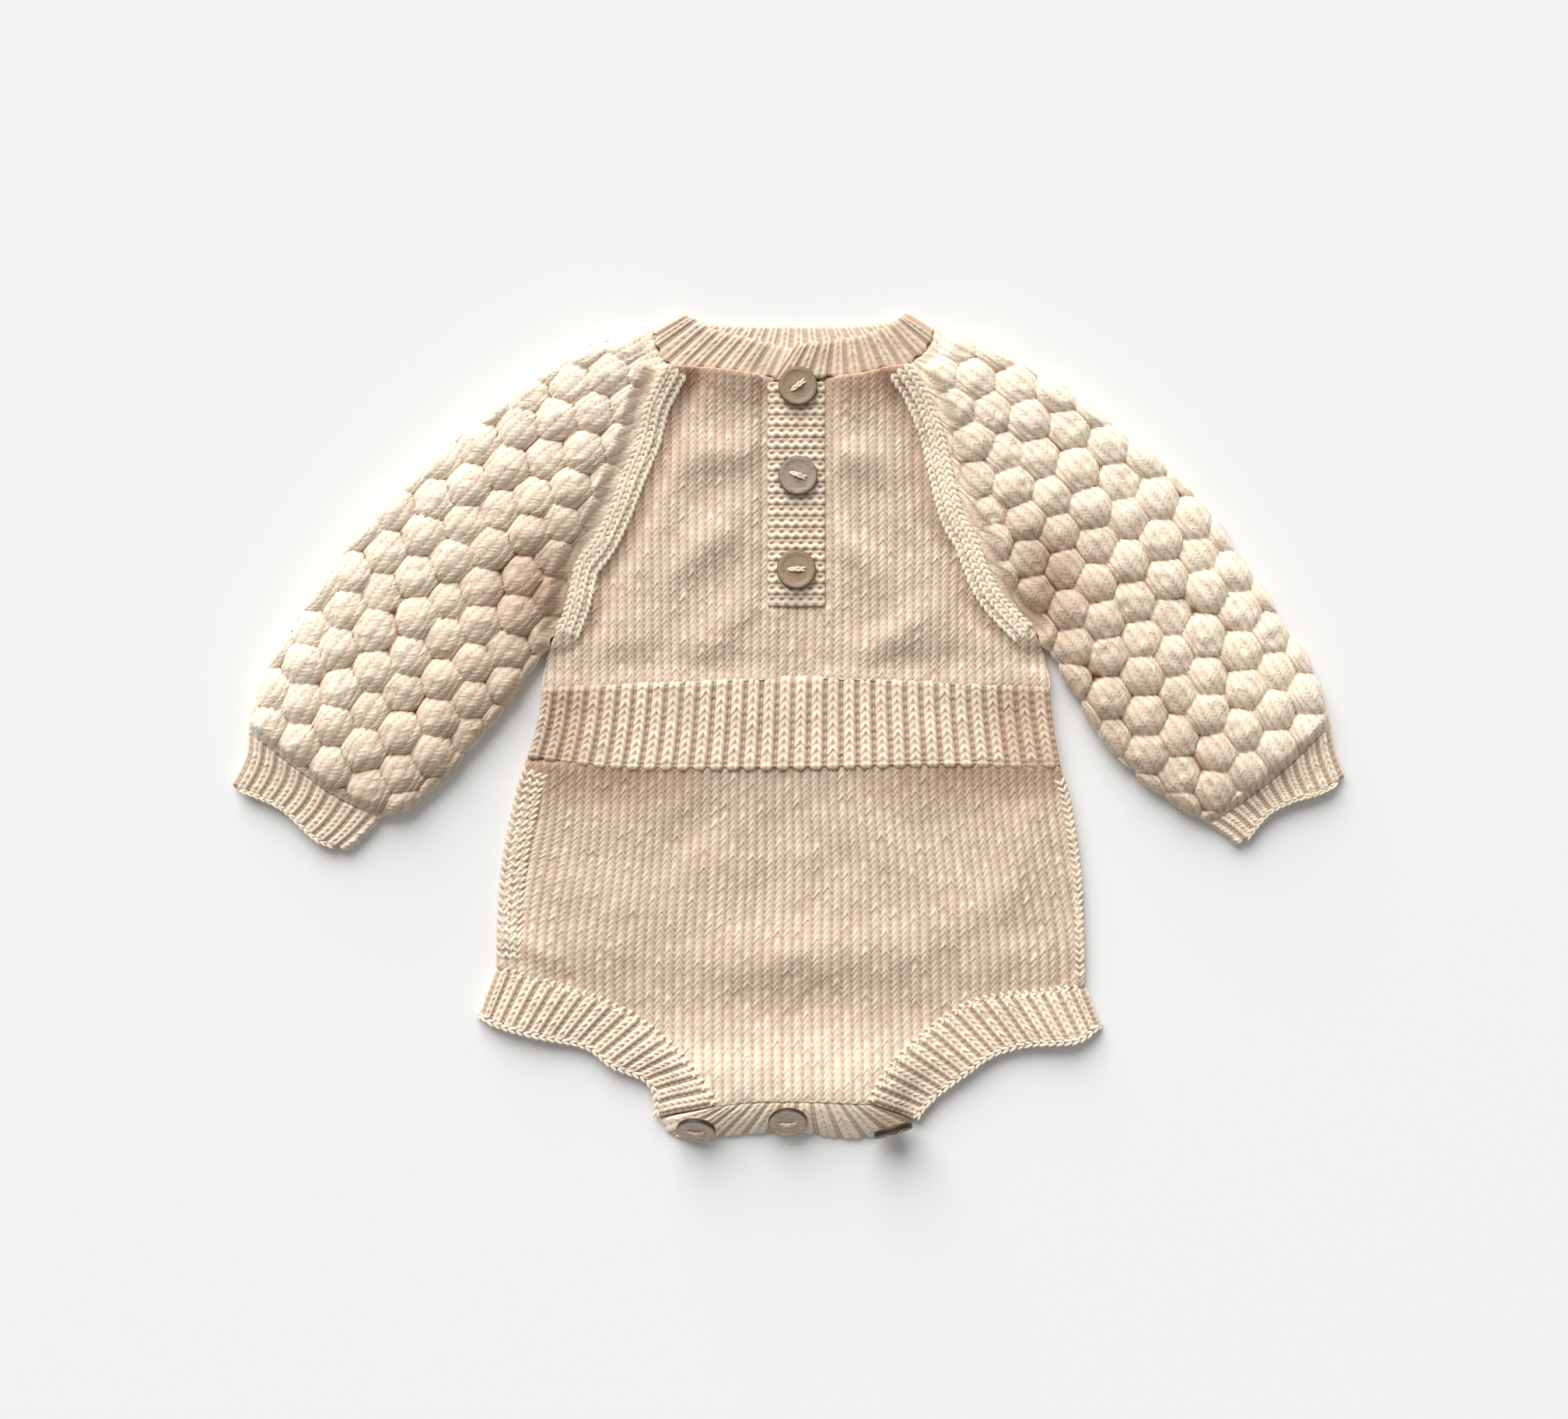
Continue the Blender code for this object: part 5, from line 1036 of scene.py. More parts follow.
def dress_sleeve(side, seed):
    """One sleeve: the knitted upper layer, the rolled folds, the flat under layer and the hollow between."""
    path = curve(SLEEVE_AXIS[side], 120)
    run = np.concatenate([[0], np.cumsum(np.linalg.norm(np.diff(path, axis=0), axis=1))])
    heading = np.gradient(path, axis=0)
    heading /= np.linalg.norm(heading, axis=1)[:, None]
    shoulder, underarm, wrist, raglan, neck = (
        line(lines[side]) for lines in (SHOULDER, UNDERARM, WRIST, RAGLAN, NECK_SEAM))

    def place(wale, row):
        """Plan points of the knit: rows follow each other down the sleeve's axis, wales lie across it."""
        down, across = row * SLEEVE_ROW, wale * SLEEVE_WALE
        # The wales spread over each pillow and close up toward the pits beside it.
        turns = 2 * np.pi * across / BUBBLE_ACROSS
        across = across + 1.7 * np.sin(turns) * np.cos(np.pi * down / BUBBLE_ALONG)
        down = down + 0.9 * np.sin(turns * 0.5 + 1.3) * np.sin(2 * np.pi * down / BUBBLE_ALONG)
        puff_x = unevenness(down, across, 33.0, seed)
        at = np.stack([np.interp(down, run, path[:, d]) for d in (0, 1)], -1)
        way = np.stack([np.interp(down, run, heading[:, d]) for d in (0, 1)], -1)
        beyond = np.maximum(down - run[-1], 0.0) + np.minimum(down, 0.0)
        side_way = np.stack([-way[..., 1], way[..., 0]], -1)
        return at + way * beyond[..., None] + side_way * (across + 0.6 * puff_x)[..., None]

    def frame_of(x, y):
        """(distance down the axis, distance across it), read from the nearest of the axis points."""
        at = np.stack([np.ravel(x), np.ravel(y)], 1)
        best = np.concatenate([np.argmin(((some[:, None] - path[None]) ** 2).sum(2), 1)
                               for some in np.array_split(at, max(1, len(at) // 20000))])
        off = at - path[best]
        down = run[best] + (off * heading[best]).sum(1)
        across = heading[best, 0] * off[:, 1] - heading[best, 1] * off[:, 0]
        return down.reshape(np.shape(x)), across.reshape(np.shape(x))

    def fold_distance(x, y):
        """Distance in from the outermost reach of the pillows, which stand 1.4 mm beyond the folded line."""
        near = np.minimum(distance_to(shoulder, x, y), distance_to(underarm, x, y))
        return np.maximum(np.where(unscalloped.depth(x, y) < 0, -near, near) + 1.4, 0.0)

    def toward_shoulder(x, y):
        """From -1 at the underarm to 1 at the shoulder."""
        up, down = distance_to(shoulder, x, y), distance_to(underarm, x, y)
        return (down - up) / (down + up)

    def heights(x, y):
        """(height of the upper layer without its bubbles, height of the bubbles)."""
        body = np.minimum(distance_to(raglan, x, y), distance_to(neck, x, y))
        cuff = distance_to(wrist, x, y)
        plump = 0.45 + 0.55 * smooth(np.minimum(body, cuff) / 24.0)
        plump = plump * (1 - bell(fold_distance(x, y) / 9.0, 1))
        swell = smooth((body - 4.0) / 6.0) * smooth((cuff - 0.5) / 5.0)
        base = 4.9 + 2.4 * plump + 1.6 * plump * (1 - toward_shoulder(x, y) ** 2)
        return base, BUBBLE_HEIGHT * swell * bubbles(*frame_of(x, y))[0]

    parts = (shoulder, wrist, underarm[::-1], raglan[::-1], neck[::-1])
    if side == "right":
        parts = tuple(part[::-1] for part in parts[::-1])
    ring = outline(*parts)
    unscalloped = Outline(ring)
    fine = curve(np.vstack([ring, ring[:1]]), 3 * len(ring))[:-1]
    body_line = np.vstack([neck[:-1], raglan])
    free = smooth(np.minimum(distance_to(body_line, *fine.T), distance_to(wrist, *fine.T)) / 8)
    puff = heights(*fine.T)[1] / BUBBLE_HEIGHT
    border = Outline(inset(fine, free * (1.9 - 3.6 * puff) - (1 - free) * 0.8))

    def top(x, y):
        """Outside of the upper layer: near the folded edges it rolls down to the level of the fold."""
        base, bump = heights(x, y)
        round_off = edge_round(fold_distance(x, y) - 0.4, 7.0)
        near_fold = smooth(1.2 - fold_distance(x, y) / 10.0)
        height = base + bump
        rolled = FOLD_LEVEL + (height - FOLD_LEVEL) * round_off
        return height * (1 - near_fold) + rolled * near_fold

    def shade(x, y):
        """Painted shade and light of the yarn: darker in the pits, on the lower side of each pillow and near
        the armpit, lighter toward the shoulder.
        """
        height, crease = bubbles(*frame_of(x, y))
        # Painted shade in the pits, on each pillow's side away from the window and in the armpit; painted
        # light toward the shoulder.
        lee = np.clip((bubbles(*frame_of(x, y + 1.5))[0] - bubbles(*frame_of(x, y - 1.5))[0]) * 1.6, -1, 1)
        dark = 0.75 * (1 - smooth((height - 0.12) / 0.40)) + 0.08 * crease + 0.20 * lee
        hollow = bell((x - ARMPIT[side][0]) / 17.0) * bell((y - ARMPIT[side][1]) / 22.0)
        lit = 0.93 + 0.28 * toward_shoulder(x, y) - 0.42 * hollow
        return lit - dark * smooth(fold_distance(x, y) / 9.0)

    rows = int(run[-1] / SLEEVE_ROW) + 6
    sheet = panel(border, (-30, 30), (-8, rows), place, surface, top, shade, seed, relief=0.6, even=0.5,
                  steps=((0.25, 0.62), (0.9, 0.25)), foot=miter(ring, 2.4), spacing=12.0)
    # The hollow inside the tube is a closed surface of its own that faces inwards.
    slit = miter(ring[::2], 4.8)
    inner, corners = fill(slit, 13.0)
    plan = np.vstack([slit, inner])
    n, m = len(slit), len(plan)
    roof = heights(*plan.T)[0] - WALL
    roof[:n] = LEVEL + 0.9
    k, after = np.arange(n), (np.arange(n) + 1) % n
    hollow = np.vstack([corners, corners[:, ::-1] + m]).tolist()
    hollow += np.stack([k, k + m, after + m, after], 1).tolist()
    inside = np.vstack([np.column_stack([plan, roof]), np.column_stack([plan, np.full(m, BACK_WALL)])])
    make_piece(f"{side}_sleeve_knit", [sheet, (inside, np.full(2 * m, 0.4), [face[::-1] for face in hollow])],
               [cotton_knit], "sleeve_" + side)


dress_sleeve("left", 41)
dress_sleeve("right", 42)

# ---------------------------------------------------------------- cuffs
# Short ribbed tubes in the same yarn, flattened, with a chain of loops at the cast-off edge.
CUFF_RIBS = 9
TURN_OUT, TURN_IN = 2.55, 0.45  # radii of a band's outer and inner side where it folds round
CUFF_EDGE = {"left": [(-256.7, -28.3), (-245.5, -32.4), (-232.2, -39.2), (-216.7, -53), (-205.2, -58.2)],
             "right": [(257.8, -24.6), (247.7, -30.2), (233.3, -34.9), (220.7, -41.8), (208.8, -55.4)]}
CUFF_OUTER = {"left": [(-248.2, -3.4), (-249.7, -15.5), (-256.7, -28.3)],
              "right": [(250.6, -0.4), (252.7, -11.9), (257.8, -24.6)]}
CUFF_INNER = {"left": [(-188.3, -42.5), (-196.9, -51.6), (-205.2, -58.2)],
              "right": [(195.5, -45.4), (202.3, -49.9), (208.8, -55.4)]}


def fold_steps(count):
    """Angles that carry a band round a fold, from upright through level to hanging down."""
    return np.radians(np.linspace(90, -90, count + 2)[1:-1])


def edge_chain(outer, inner, row, pitch, size, seed, lean, reach, part, lift):
    """Loops of a cast-off or picked-up edge: slanting strands along one row of a band's coarse grids."""
    path, out = outer[row, part], (outer - inner)[row, part]
    out = out / np.linalg.norm(out, axis=1)[:, None]
    return chain(path + out * lift, out, pitch, lean, size, reach, seed)


def dress_cuff(side, seed):
    """One flattened tube whose upper layer swells a little in the middle."""
    columns = CUFF_RIBS * 3 + 1
    top = patch(WRIST[side], CUFF_EDGE[side], CUFF_OUTER[side], CUFF_INNER[side], 4, columns)
    width = top[:, -1:] - top[:, :1]
    way = width / np.linalg.norm(width, axis=2)[..., None]
    u = np.linspace(0, 1, columns)[None, :, None]
    top = top + way * 2.6 * (1 - 2 * u)
    swell = 1.4 * np.sin(np.pi * u[..., 0]) * np.array([1.0, 0.6, 0.4, 0.7])[:, None]
    z_in = 3.0 + swell * 0.8
    z_out = z_in + 1.7

    def fold(edge, direction, radius, start_z):
        """Columns round one side from the upper layer to the under layer."""
        turned = []
        for a in fold_steps(3):
            by = np.where(np.sin(a) > 0, start_z - TURN_OUT, radius)
            turned.append(np.concatenate([
                edge + direction * radius * math.cos(a), (TURN_OUT + by * math.sin(a))[:, None]], 1))
        return np.stack(turned, 1)

    def tube(z, radius):
        """One side of the tube: upper layer, a fold, the under layer, the other fold, first column again."""
        return np.concatenate([raised(top, z), fold(top[:, -1], way[:, 0], radius, z[:, -1]),
                               raised(top[:, ::-3], TURN_OUT - radius),
                               fold(top[:, 0], -way[:, 0], radius, z[:, 0])[:, ::-1],
                               raised(top[:, :1], z[:, :1])], 1)

    outer, inner = tube(z_out, TURN_OUT), tube(z_in, TURN_IN)
    phase = rib_phase((columns - 1, 1 / 3), (4, 0.25), (CUFF_RIBS, 1.0), (4, 0.25))
    mask = np.concatenate([np.ones(columns), [1.0, 0.8, 0.3], np.zeros(CUFF_RIBS + 1), [0.3, 0.8, 1.0, 1.0]])
    band = ribbed(outer, inner, phase, 8, seed, 1.3, mask, 0.6)
    cast_off = edge_chain(outer, inner, -1, 3.2, (3.9, 1.3, 1.3), seed, 14.0, 0.5, slice(1, columns - 1), 0.1)
    make_piece(f"{side}_cuff_knit", [band, cast_off], [cotton_knit], "cuff_" + side)


dress_cuff("left", 51)
dress_cuff("right", 52)

# ---------------------------------------------------------------- neckband
# One ribbed strip picked up round the neck, from under the placket button round the back to the right end.
SIDE_RIBS_LEFT, SIDE_RIBS_RIGHT, BACK_RIBS = 11, 10, 18
NECK_TOP = {"left": [(-47.2, 190.6), (-34.6, 183.2), (-17.3, 178.8), (0, 174.4), (15, 174)],
            "right": [(4.6, 175.6), (20.9, 177.7), (37.1, 180.8), (48, 185.6), (54.7, 190.8)]}
NECK_TOP_BACK = [(-47.2, 190.6), (-38, 186.3), (-20, 185), (3, 184.9), (27, 185), (44, 186.6),
                 (54.7, 190.8)]
NECK_LOW_BACK = [(-62.6, 181.6), (-59.6, 174), (-46, 171.4), (-24, 170.6), (3, 170.4), (30, 170.6),
                 (52, 171.4), (63.6, 174), (69, 181.8)]


def folded_band(upper, lower, turn, out, z_centre, r_in, r_out, rows):
    """(outer, inner) grids of a band between two plan curves.

    turn is each column's angle, out its plan direction at a fold; r_in and r_out are the two sides'
    distances from the fold's centre line at height z_centre, as rows x columns.
    """
    v = np.linspace(0, 1, rows)[:, None, None]
    plan = (1 - v) * upper[None] + v * lower[None]
    way = np.stack([out[:, 0] * np.cos(turn), out[:, 1] * np.cos(turn), np.sin(turn)], 1)[None]
    base = np.concatenate([plan, np.full((*plan.shape[:2], 1), z_centre)], 2)
    return base + way * r_out[..., None], base + way * r_in[..., None]


def dress_neckband():
    """The strip lies on the front at both ends, folds at the shoulders and lies flat along the back.

    The left end slips in under the right one, which climbs over it. A second layer is the inside of the back.
    """
    left_low = [*NECK_SEAM["left"][:-1], *NECK_LOW["left"], (14.0, 160.2)]
    right_low = [(-7.7, 157.2), (-2.0, 158.6), (8.0, 159.6), *NECK_LOW["right"], *NECK_SEAM["right"][-2::-1]]
    left = [curve(c, SIDE_RIBS_LEFT * 3 + 1) for c in (NECK_TOP["left"], left_low)]
    right = [curve(c, SIDE_RIBS_RIGHT * 3 + 1) for c in (NECK_TOP["right"], right_low)]
    back = [curve(c, BACK_RIBS * 3 + 1) for c in (NECK_TOP_BACK, NECK_LOW_BACK)]
    upper, lower = (np.vstack([left[k][::-1], np.repeat(left[k][:1], 3, 0), back[k],
                               np.repeat(right[k][-1:], 3, 0), right[k][::-1]]) for k in (0, 1))
    n_left, n_back, n_right = len(left[0]), len(back[0]), len(right[0])
    down = fold_steps(3)
    turn = np.concatenate([np.full(n_left, np.pi / 2), down, np.full(n_back, -np.pi / 2), down[::-1],
                           np.full(n_right, np.pi / 2)])
    out = np.zeros((len(turn), 2))
    out[:n_left + 3 + n_back // 2] = np.array([-0.55, 0.83])
    out[n_left + 3 + n_back // 2:] = np.array([0.55, 0.83])
    drawn_in = [0.6, 1.4, 2.3, 2.3, 2.3, 2.3, 2.3, 1.4, 0.6]
    pull = np.concatenate([np.zeros(n_left - 3), drawn_in, np.zeros(n_back - 6), drawn_in,
                           np.zeros(n_right - 3)])
    upper, lower = upper - out * pull[:, None], lower - out * pull[:, None]
    is_left = np.arange(len(turn)) < n_left
    is_right = np.arange(len(turn)) >= len(turn) - n_right
    is_back, at_fold = turn < -1.57, np.abs(turn) < 1.5
    x = upper[:, 0]
    climb = np.where(is_right, smooth((25.0 - x) / 9.0), 0.0)
    sink = np.where(is_left, smooth((x + 13.0) / 8.0), 0.0)
    in_front = 0.75 + np.array([0.0, 0.3, 0.6, 0.9])[:, None] * np.where(is_left | is_right, 1.0, 0.0)
    in_front = in_front + (2.05 - in_front) * climb - in_front * sink
    r_in = np.where(is_back | at_fold, TURN_IN, in_front)
    r_out = np.where(is_back | at_fold, TURN_OUT, in_front + 1.8)
    outer, inner = folded_band(upper, lower, turn, out, TURN_OUT, r_in, r_out, 4)
    phase = rib_phase((n_left - 1, 1 / 3), (4, 0.25), (n_back - 1, 1 / 3), (4, 0.25), (n_right - 1, 1 / 3))
    mask = np.where(is_back, 0.0, np.where(at_fold, 0.6, 1.0)) * (1 - 0.7 * sink)
    # Painted shade: the yarn is darkened, most on the right end.
    front = ribbed(outer, inner, phase, 6, 61, 0.95, mask, 1.0, np.where(is_right, 0.72, 0.88))
    # The inside of the back half shows above the front.
    lining = patch(NECK_TOP_BACK, NECK_LOW_BACK, [NECK_TOP_BACK[0], NECK_LOW_BACK[0]],
                   [NECK_TOP_BACK[-1], NECK_LOW_BACK[-1]], 4, BACK_RIBS * 3 + 1)[:, 4:-4]
    inside = ribbed(raised(lining, 2.15), raised(lining, 1.2), np.linspace(0, BACK_RIBS - 2, lining.shape[1]),
                    6, 62, 0.8, taut=1.0)
    make_piece("neckband_knit", [front, inside], [cotton_knit], "neckband")


dress_neckband()

# ---------------------------------------------------------------- placket
# Garter stitch knitted sideways: a purl ridge every second row. The band that shows lies over a plain one
# that carries the buttons.
PLACKET_LEFT, PLACKET_RIGHT, PLACKET_LOW, PLACKET_TOP = -8.3, 17.3, 54.7, 158.2
GARTER_RIDGES, RIDGE_STEPS, GARTER_LOOP = 20, 12, 4.3  # ridges, points along each, width of a loop


def dress_placket():
    """The garter band as a sheet of ridges and dips along its length, and the plain band under it."""
    v = np.linspace(0, 1, GARTER_RIDGES * RIDGE_STEPS + 1)[:, None]
    u = np.linspace(0, 1, 61)[None]
    x = PLACKET_LEFT + (PLACKET_RIGHT - PLACKET_LEFT) * u + 0 * v
    loops = np.cos(2 * np.pi * x / GARTER_LOOP)
    part = (v * GARTER_RIDGES) % 1.0 + 0 * u
    # A purl ridge is a thick wavy strand; the row between dips, and its loops hang the other way.
    y = PLACKET_LOW + (PLACKET_TOP - PLACKET_LOW) * v + 0 * u
    ridge = np.clip(1 - ((part - 0.34 - 0.10 * loops) / 0.29) ** 2, 0, 1) ** 0.6
    between = np.clip(1 - ((part - 0.82 + 0.09 * loops) / 0.24) ** 2, 0, 1) ** 0.6 * (0.62 - 0.16 * loops)
    rng = np.random.default_rng(71)
    row = np.minimum((v * GARTER_RIDGES).astype(int), GARTER_RIDGES - 1)
    knot = rng.normal(size=(GARTER_RIDGES, 8))[row, (np.abs(u) * 6).astype(int)]
    scallop = np.sin(np.pi * part)
    x = x - 0.9 * scallop * (1 - u) ** 4 + 0.5 * scallop * u**4
    # Painted shade: the tone is darkest in the dips between ridges and loops; the knots vary it at random.
    strand = (0.16 + 0.84 * np.maximum(ridge, between)) * (1 + 0.09 * knot)
    side_round = np.sqrt(np.clip(1 - np.abs(2 * u - 1) ** 12, 0, 1))
    z_in = LEVEL + WALL + 0.35
    z = z_in + 0.5 + (0.9 + 1.4 * strand) * side_round * (0.45 + 0.55 * smooth(v * GARTER_RIDGES / 1.2))
    outer = np.stack([x, y, z + 0.2 * unevenness(x, y, 9.0, 72)], -1)
    inner = outer[::RIDGE_STEPS * 4].copy()
    inner[..., 2] = z_in
    r, c, q = *outer.shape[:2], len(inner)
    over = (np.vstack([outer.reshape(-1, 3), inner.reshape(-1, 3)]),
            np.concatenate([strand.ravel(), np.full(q * c, 0.3)]), sheet_faces(r, q, c))
    make_piece("placket_over_knit", [over], [cotton_knit], "placket_over")
    west, east, low_y, high_y = NOTCH_LEFT + 0.3, NOTCH_RIGHT - 0.3, NOTCH_LOW + 0.3, 156.6
    ring = np.array([(west, low_y), (east, low_y), (east, high_y), (west, high_y)])
    ring = outline(*(line([ring[k], ring[(k + 1) % 4]], 3.0) for k in range(4)))
    points, strand, faces = plain_sheet(ring, 1.9)
    points[:, 2] += LEVEL
    make_piece("placket_under_knit", [(points, strand, faces)], [cotton_flat], "placket_under")


dress_placket()

# ---------------------------------------------------------------- leg bands
# Ribbed strips round the legs: the back half lies flat, folds at the side, and the front half lies on it.
LEG_RIBS = 17
LEG_EDGE = {
    "left": [(-142.2, -134.3), (-134.3, -138.2), (-116.3, -143.3), (-93.2, -148.3), (-80.3, -157.3),
             (-65.2, -163.8), (-60.2, -172.7), (-60.4, -181)],
    "right": [(144.7, -139.3), (132.8, -145.8), (112.3, -147.2), (94.3, -152.3), (81.7, -161.3),
              (71.3, -168.8), (63.5, -176), (59.5, -182)]}


def dress_leg_band(side, seed):
    """The strip is widest at the side fold; toward the crotch its front half climbs the bulge."""
    sign = -1.0 if side == "left" else 1.0
    count = LEG_RIBS * 3 + 1
    upper, lower = curve(LEG[side], count), curve(LEG_EDGE[side], count)
    width = lower - upper
    way = width / np.linalg.norm(width, axis=1)[:, None]
    back_columns = np.arange(0, count, 3)
    out = np.array([sign * 0.94, 0.34])
    pull = np.zeros(count)
    pull[:4] = [2.3, 1.6, 0.9, 0.3]
    upper, lower = upper - out * pull[:, None], lower - out * pull[:, None]
    back_lower = lower[back_columns] + way[back_columns] * 1.2 * smooth(back_columns / 8.0)[:, None]
    all_upper = np.vstack([upper[back_columns][::-1], np.repeat(upper[:1], 3, 0), upper])
    all_lower = np.vstack([back_lower[::-1], np.repeat(lower[:1], 3, 0), lower])
    n_back = len(back_columns)
    turn = np.concatenate([np.full(n_back, -np.pi / 2), fold_steps(3)[::-1], np.full(count, np.pi / 2)])
    v = np.linspace(0, 1, 4)[:, None]
    held = crotch_rise(upper[:, 0], upper[:, 1])[None]
    wave = 0.9 + 0.8 * np.sin(np.arange(count) / count * 9.0 + 0.6)[None]
    start = smooth(np.arange(count) / 10.0)[None]
    z_in = LEVEL + 0.3 * start + held * (1 - smooth(v * 1.15)) + wave * v * start * (1 - smooth(held / 3.0))
    z_out = z_in + 2.0
    centre = 2.15  # height of the fold's centre line
    plain = np.full((4, n_back + 3), 0.15)
    outer, inner = folded_band(all_upper, all_lower, turn, np.tile(out, (len(turn), 1)), centre,
                               np.concatenate([plain, z_in - centre], 1),
                               np.concatenate([plain + 2.0, z_out - centre], 1), 4)
    phase = rib_phase((n_back - 1, 1.0), (4, 0.25), (count - 1, 1 / 3))
    mask = np.concatenate([np.zeros(n_back), [0.3, 0.8, 1.0], np.ones(count)])
    band = ribbed(outer, inner, phase, 8, seed, 1.25, mask, 0.3)
    cast_off = edge_chain(outer, inner, -1, 3.7, (4.4, 1.6, 1.6), seed, 18.0, 0.7, slice(n_back, None), 0.2)
    picked_up = edge_chain(outer, inner, 0, 3.8, (3.2, 1.8, 1.8), seed + 5, 55.0, 0.5,
                           slice(n_back + 3, None), 0.2)
    make_piece(f"{side}_leg_band_knit", [band, cast_off, picked_up], [cotton_knit], "leg_band_" + side)


dress_leg_band("left", 81)
dress_leg_band("right", 82)

# ---------------------------------------------------------------- crotch bands
# A ribbed band at the end of the front, rolled down to the surface, over the plain band of the back that
# buttons up inside it.
CROTCH_RIBS, CROTCH_ROUND = 11, 1.35  # ribs, roundness of the roll: 1 is a slope, 2 a quarter circle
CROTCH_FOOT = 0.5  # height of the rolled edge above the surface
CROTCH_EDGE = [(-60.4, -182.4), (-54, -190.6), (-40.3, -191.6), (-18.7, -189.8), (0, -189), (13.7, -190.1),
               (28.1, -192), (38.9, -191.2), (50.5, -188.4), (59.5, -183.4)]


def crotch_section(depth, height, rows):
    """(plan share from the top, height, outward level part, outward upright part) down the rolled band."""
    f = np.asarray(rows)[:, None]

    def rise(share):
        """Height left at a share of the depth: the curve share ^ round + (rise / height) ^ round = 1."""
        return height * (1 - np.clip(share, 0, 1) ** CROTCH_ROUND) ** (1 / CROTCH_ROUND)

    low, high = np.clip(f - 1e-3, 0, 1), np.clip(f + 1e-3, 0, 1)
    level, upright = (high - low) * depth, rise(low) - rise(high)
    size = np.hypot(level, upright)
    return f + 0 * depth, rise(f), upright / size, level / size


def dress_crotch():
    """The front band follows a rolled section. The back band lies against its inside and turns in below."""
    count = CROTCH_RIBS * 3 + 1
    top = curve(CROTCH_TOP, count) + np.array([0.0, -0.4])
    edge = curve(CROTCH_EDGE, count)
    depth = np.linalg.norm(edge - top, axis=1)
    way = (edge - top) / depth[:, None]
    height = crotch_rise(*top.T) + folds(*top.T) + LEVEL + WALL - CROTCH_FOOT
    rows = (0.0, 0.2, 0.42, 0.62, 0.8, 0.93, 1.0)
    share, z, level, upright = crotch_section(depth[None], height[None], rows)
    normal = np.concatenate([way[None] * level[..., None], upright[..., None]], 2)
    shell = raised(top[None] + way[None] * (share * depth)[..., None], z + CROTCH_FOOT)
    outer = shell - normal * 0.5
    inner = shell - normal * WALL
    outer[-1, :, 2] = inner[-1, :, 2] = CROTCH_FOOT
    inner[0] = shell[0] - np.array([0, 0, WALL])
    # Painted light: the rolled band, which faces away from the window, is lightened.
    band = ribbed(outer, inner, np.arange(count) / 3, 8, 91, 0.75, taut=0.7, shade=1.45)
    make_piece("crotch_front_knit", [band], [cotton_knit], "crotch_band_front")

    pick = slice(1, None, 3)
    hold = shell[1:4, pick] - normal[1:4, pick] * (WALL + 1.5)
    inside = shell[1:4, pick] - normal[1:4, pick] * (WALL + 3.3)
    foot, turn_in = edge[pick], -way[pick]
    end = curve([(-33.6, -176.0), (-29.6, -178.3), (-14.0, -179.3), (2.0, -179.3), (20.0, -179.3),
                 (34.6, -178.1), (38.6, -174.8)], len(foot))

    def row(distance, height_at):
        """Points inside the rolled edge by the distance, at one height."""
        return np.column_stack([foot + turn_in * distance, np.full(len(foot), height_at)])[None]

    last = [np.column_stack([end, np.full(len(end), height_at)])[None] for height_at in (0.0, 2.0)]
    outer = np.concatenate([hold, row(6.4, 1.4), row(7.2, 0.0), last[0]])
    inner = np.concatenate([inside, row(8.9, 2.05), row(9.6, 2.0), last[1]])
    r, c = outer.shape[:2]
    first = r * c
    grid = np.arange(first).reshape(r, c)
    edge_of = np.concatenate([grid[0, :-1], grid[:-1, -1], grid[-1, :0:-1], grid[:0:-1, 0]])
    nxt = np.roll(edge_of, -1)
    faces = quads(r, c).tolist() + (quads(r, c)[:, ::-1] + first).tolist()
    faces += np.stack([edge_of, edge_of + first, nxt + first, nxt], 1).tolist()
    make_piece("crotch_back_knit", [(np.vstack([outer.reshape(-1, 3), inner.reshape(-1, 3)]),
                                     np.full(2 * first, 0.5), faces)],
               [cotton_flat], "crotch_band_back")


dress_crotch()

# ---------------------------------------------------------------- buttons
# Turned coconut-shell discs with two holes and a shallow dish, sewn on with the cotton yarn.
# The light shell varies from disc to disc; on the leaning discs of the crotch it is painted lighter, as
# painted light on faces that lean away from the window. Their dark skin is painted nearly black, partly its
# own colour and partly painted shade.
BUTTONS = {
    # x, y, height of the middle; in degrees tilt toward the crotch end, turn about the upright, turn of the
    # holes; light shell, dark skin, direction of the grain in radians
    "button_neck": (5, 155.9, 9, 0, 0, 37, "#A18B73", "#5E4632", 0.5),
    "button_chest": (5, 114.8, 8.8, 0, 0, -20, "#A99989", "#5E4632", 1.9),
    "button_belly": (4.3, 71.6, 8.8, 0, 0, 0, "#A88F76", "#5E4632", 0.1),
    # The crotch discs' shell colours carry painted light on the face and painted shade on the skin.
    "button_crotch_left": (-41.8, -185.8, 10.6, 50, -4, 0, "#DCC8B0", "#1A110C", 0.9),
    "button_crotch_middle": (0.4, -182, 10.9, 40, 2, 0, "#DCC6AC", "#1A110C", 2.4),
    "button_crotch_right": (48.6, -185.6, 12.2, 74, 16, 0, "#A58C72", "#1A110C", 0.3),
}
BUTTON_WIDTH, BUTTON_THICK, BUTTON_HOLE, HOLE_SPREAD = 18.0, 3.0, 2.2, 5.3


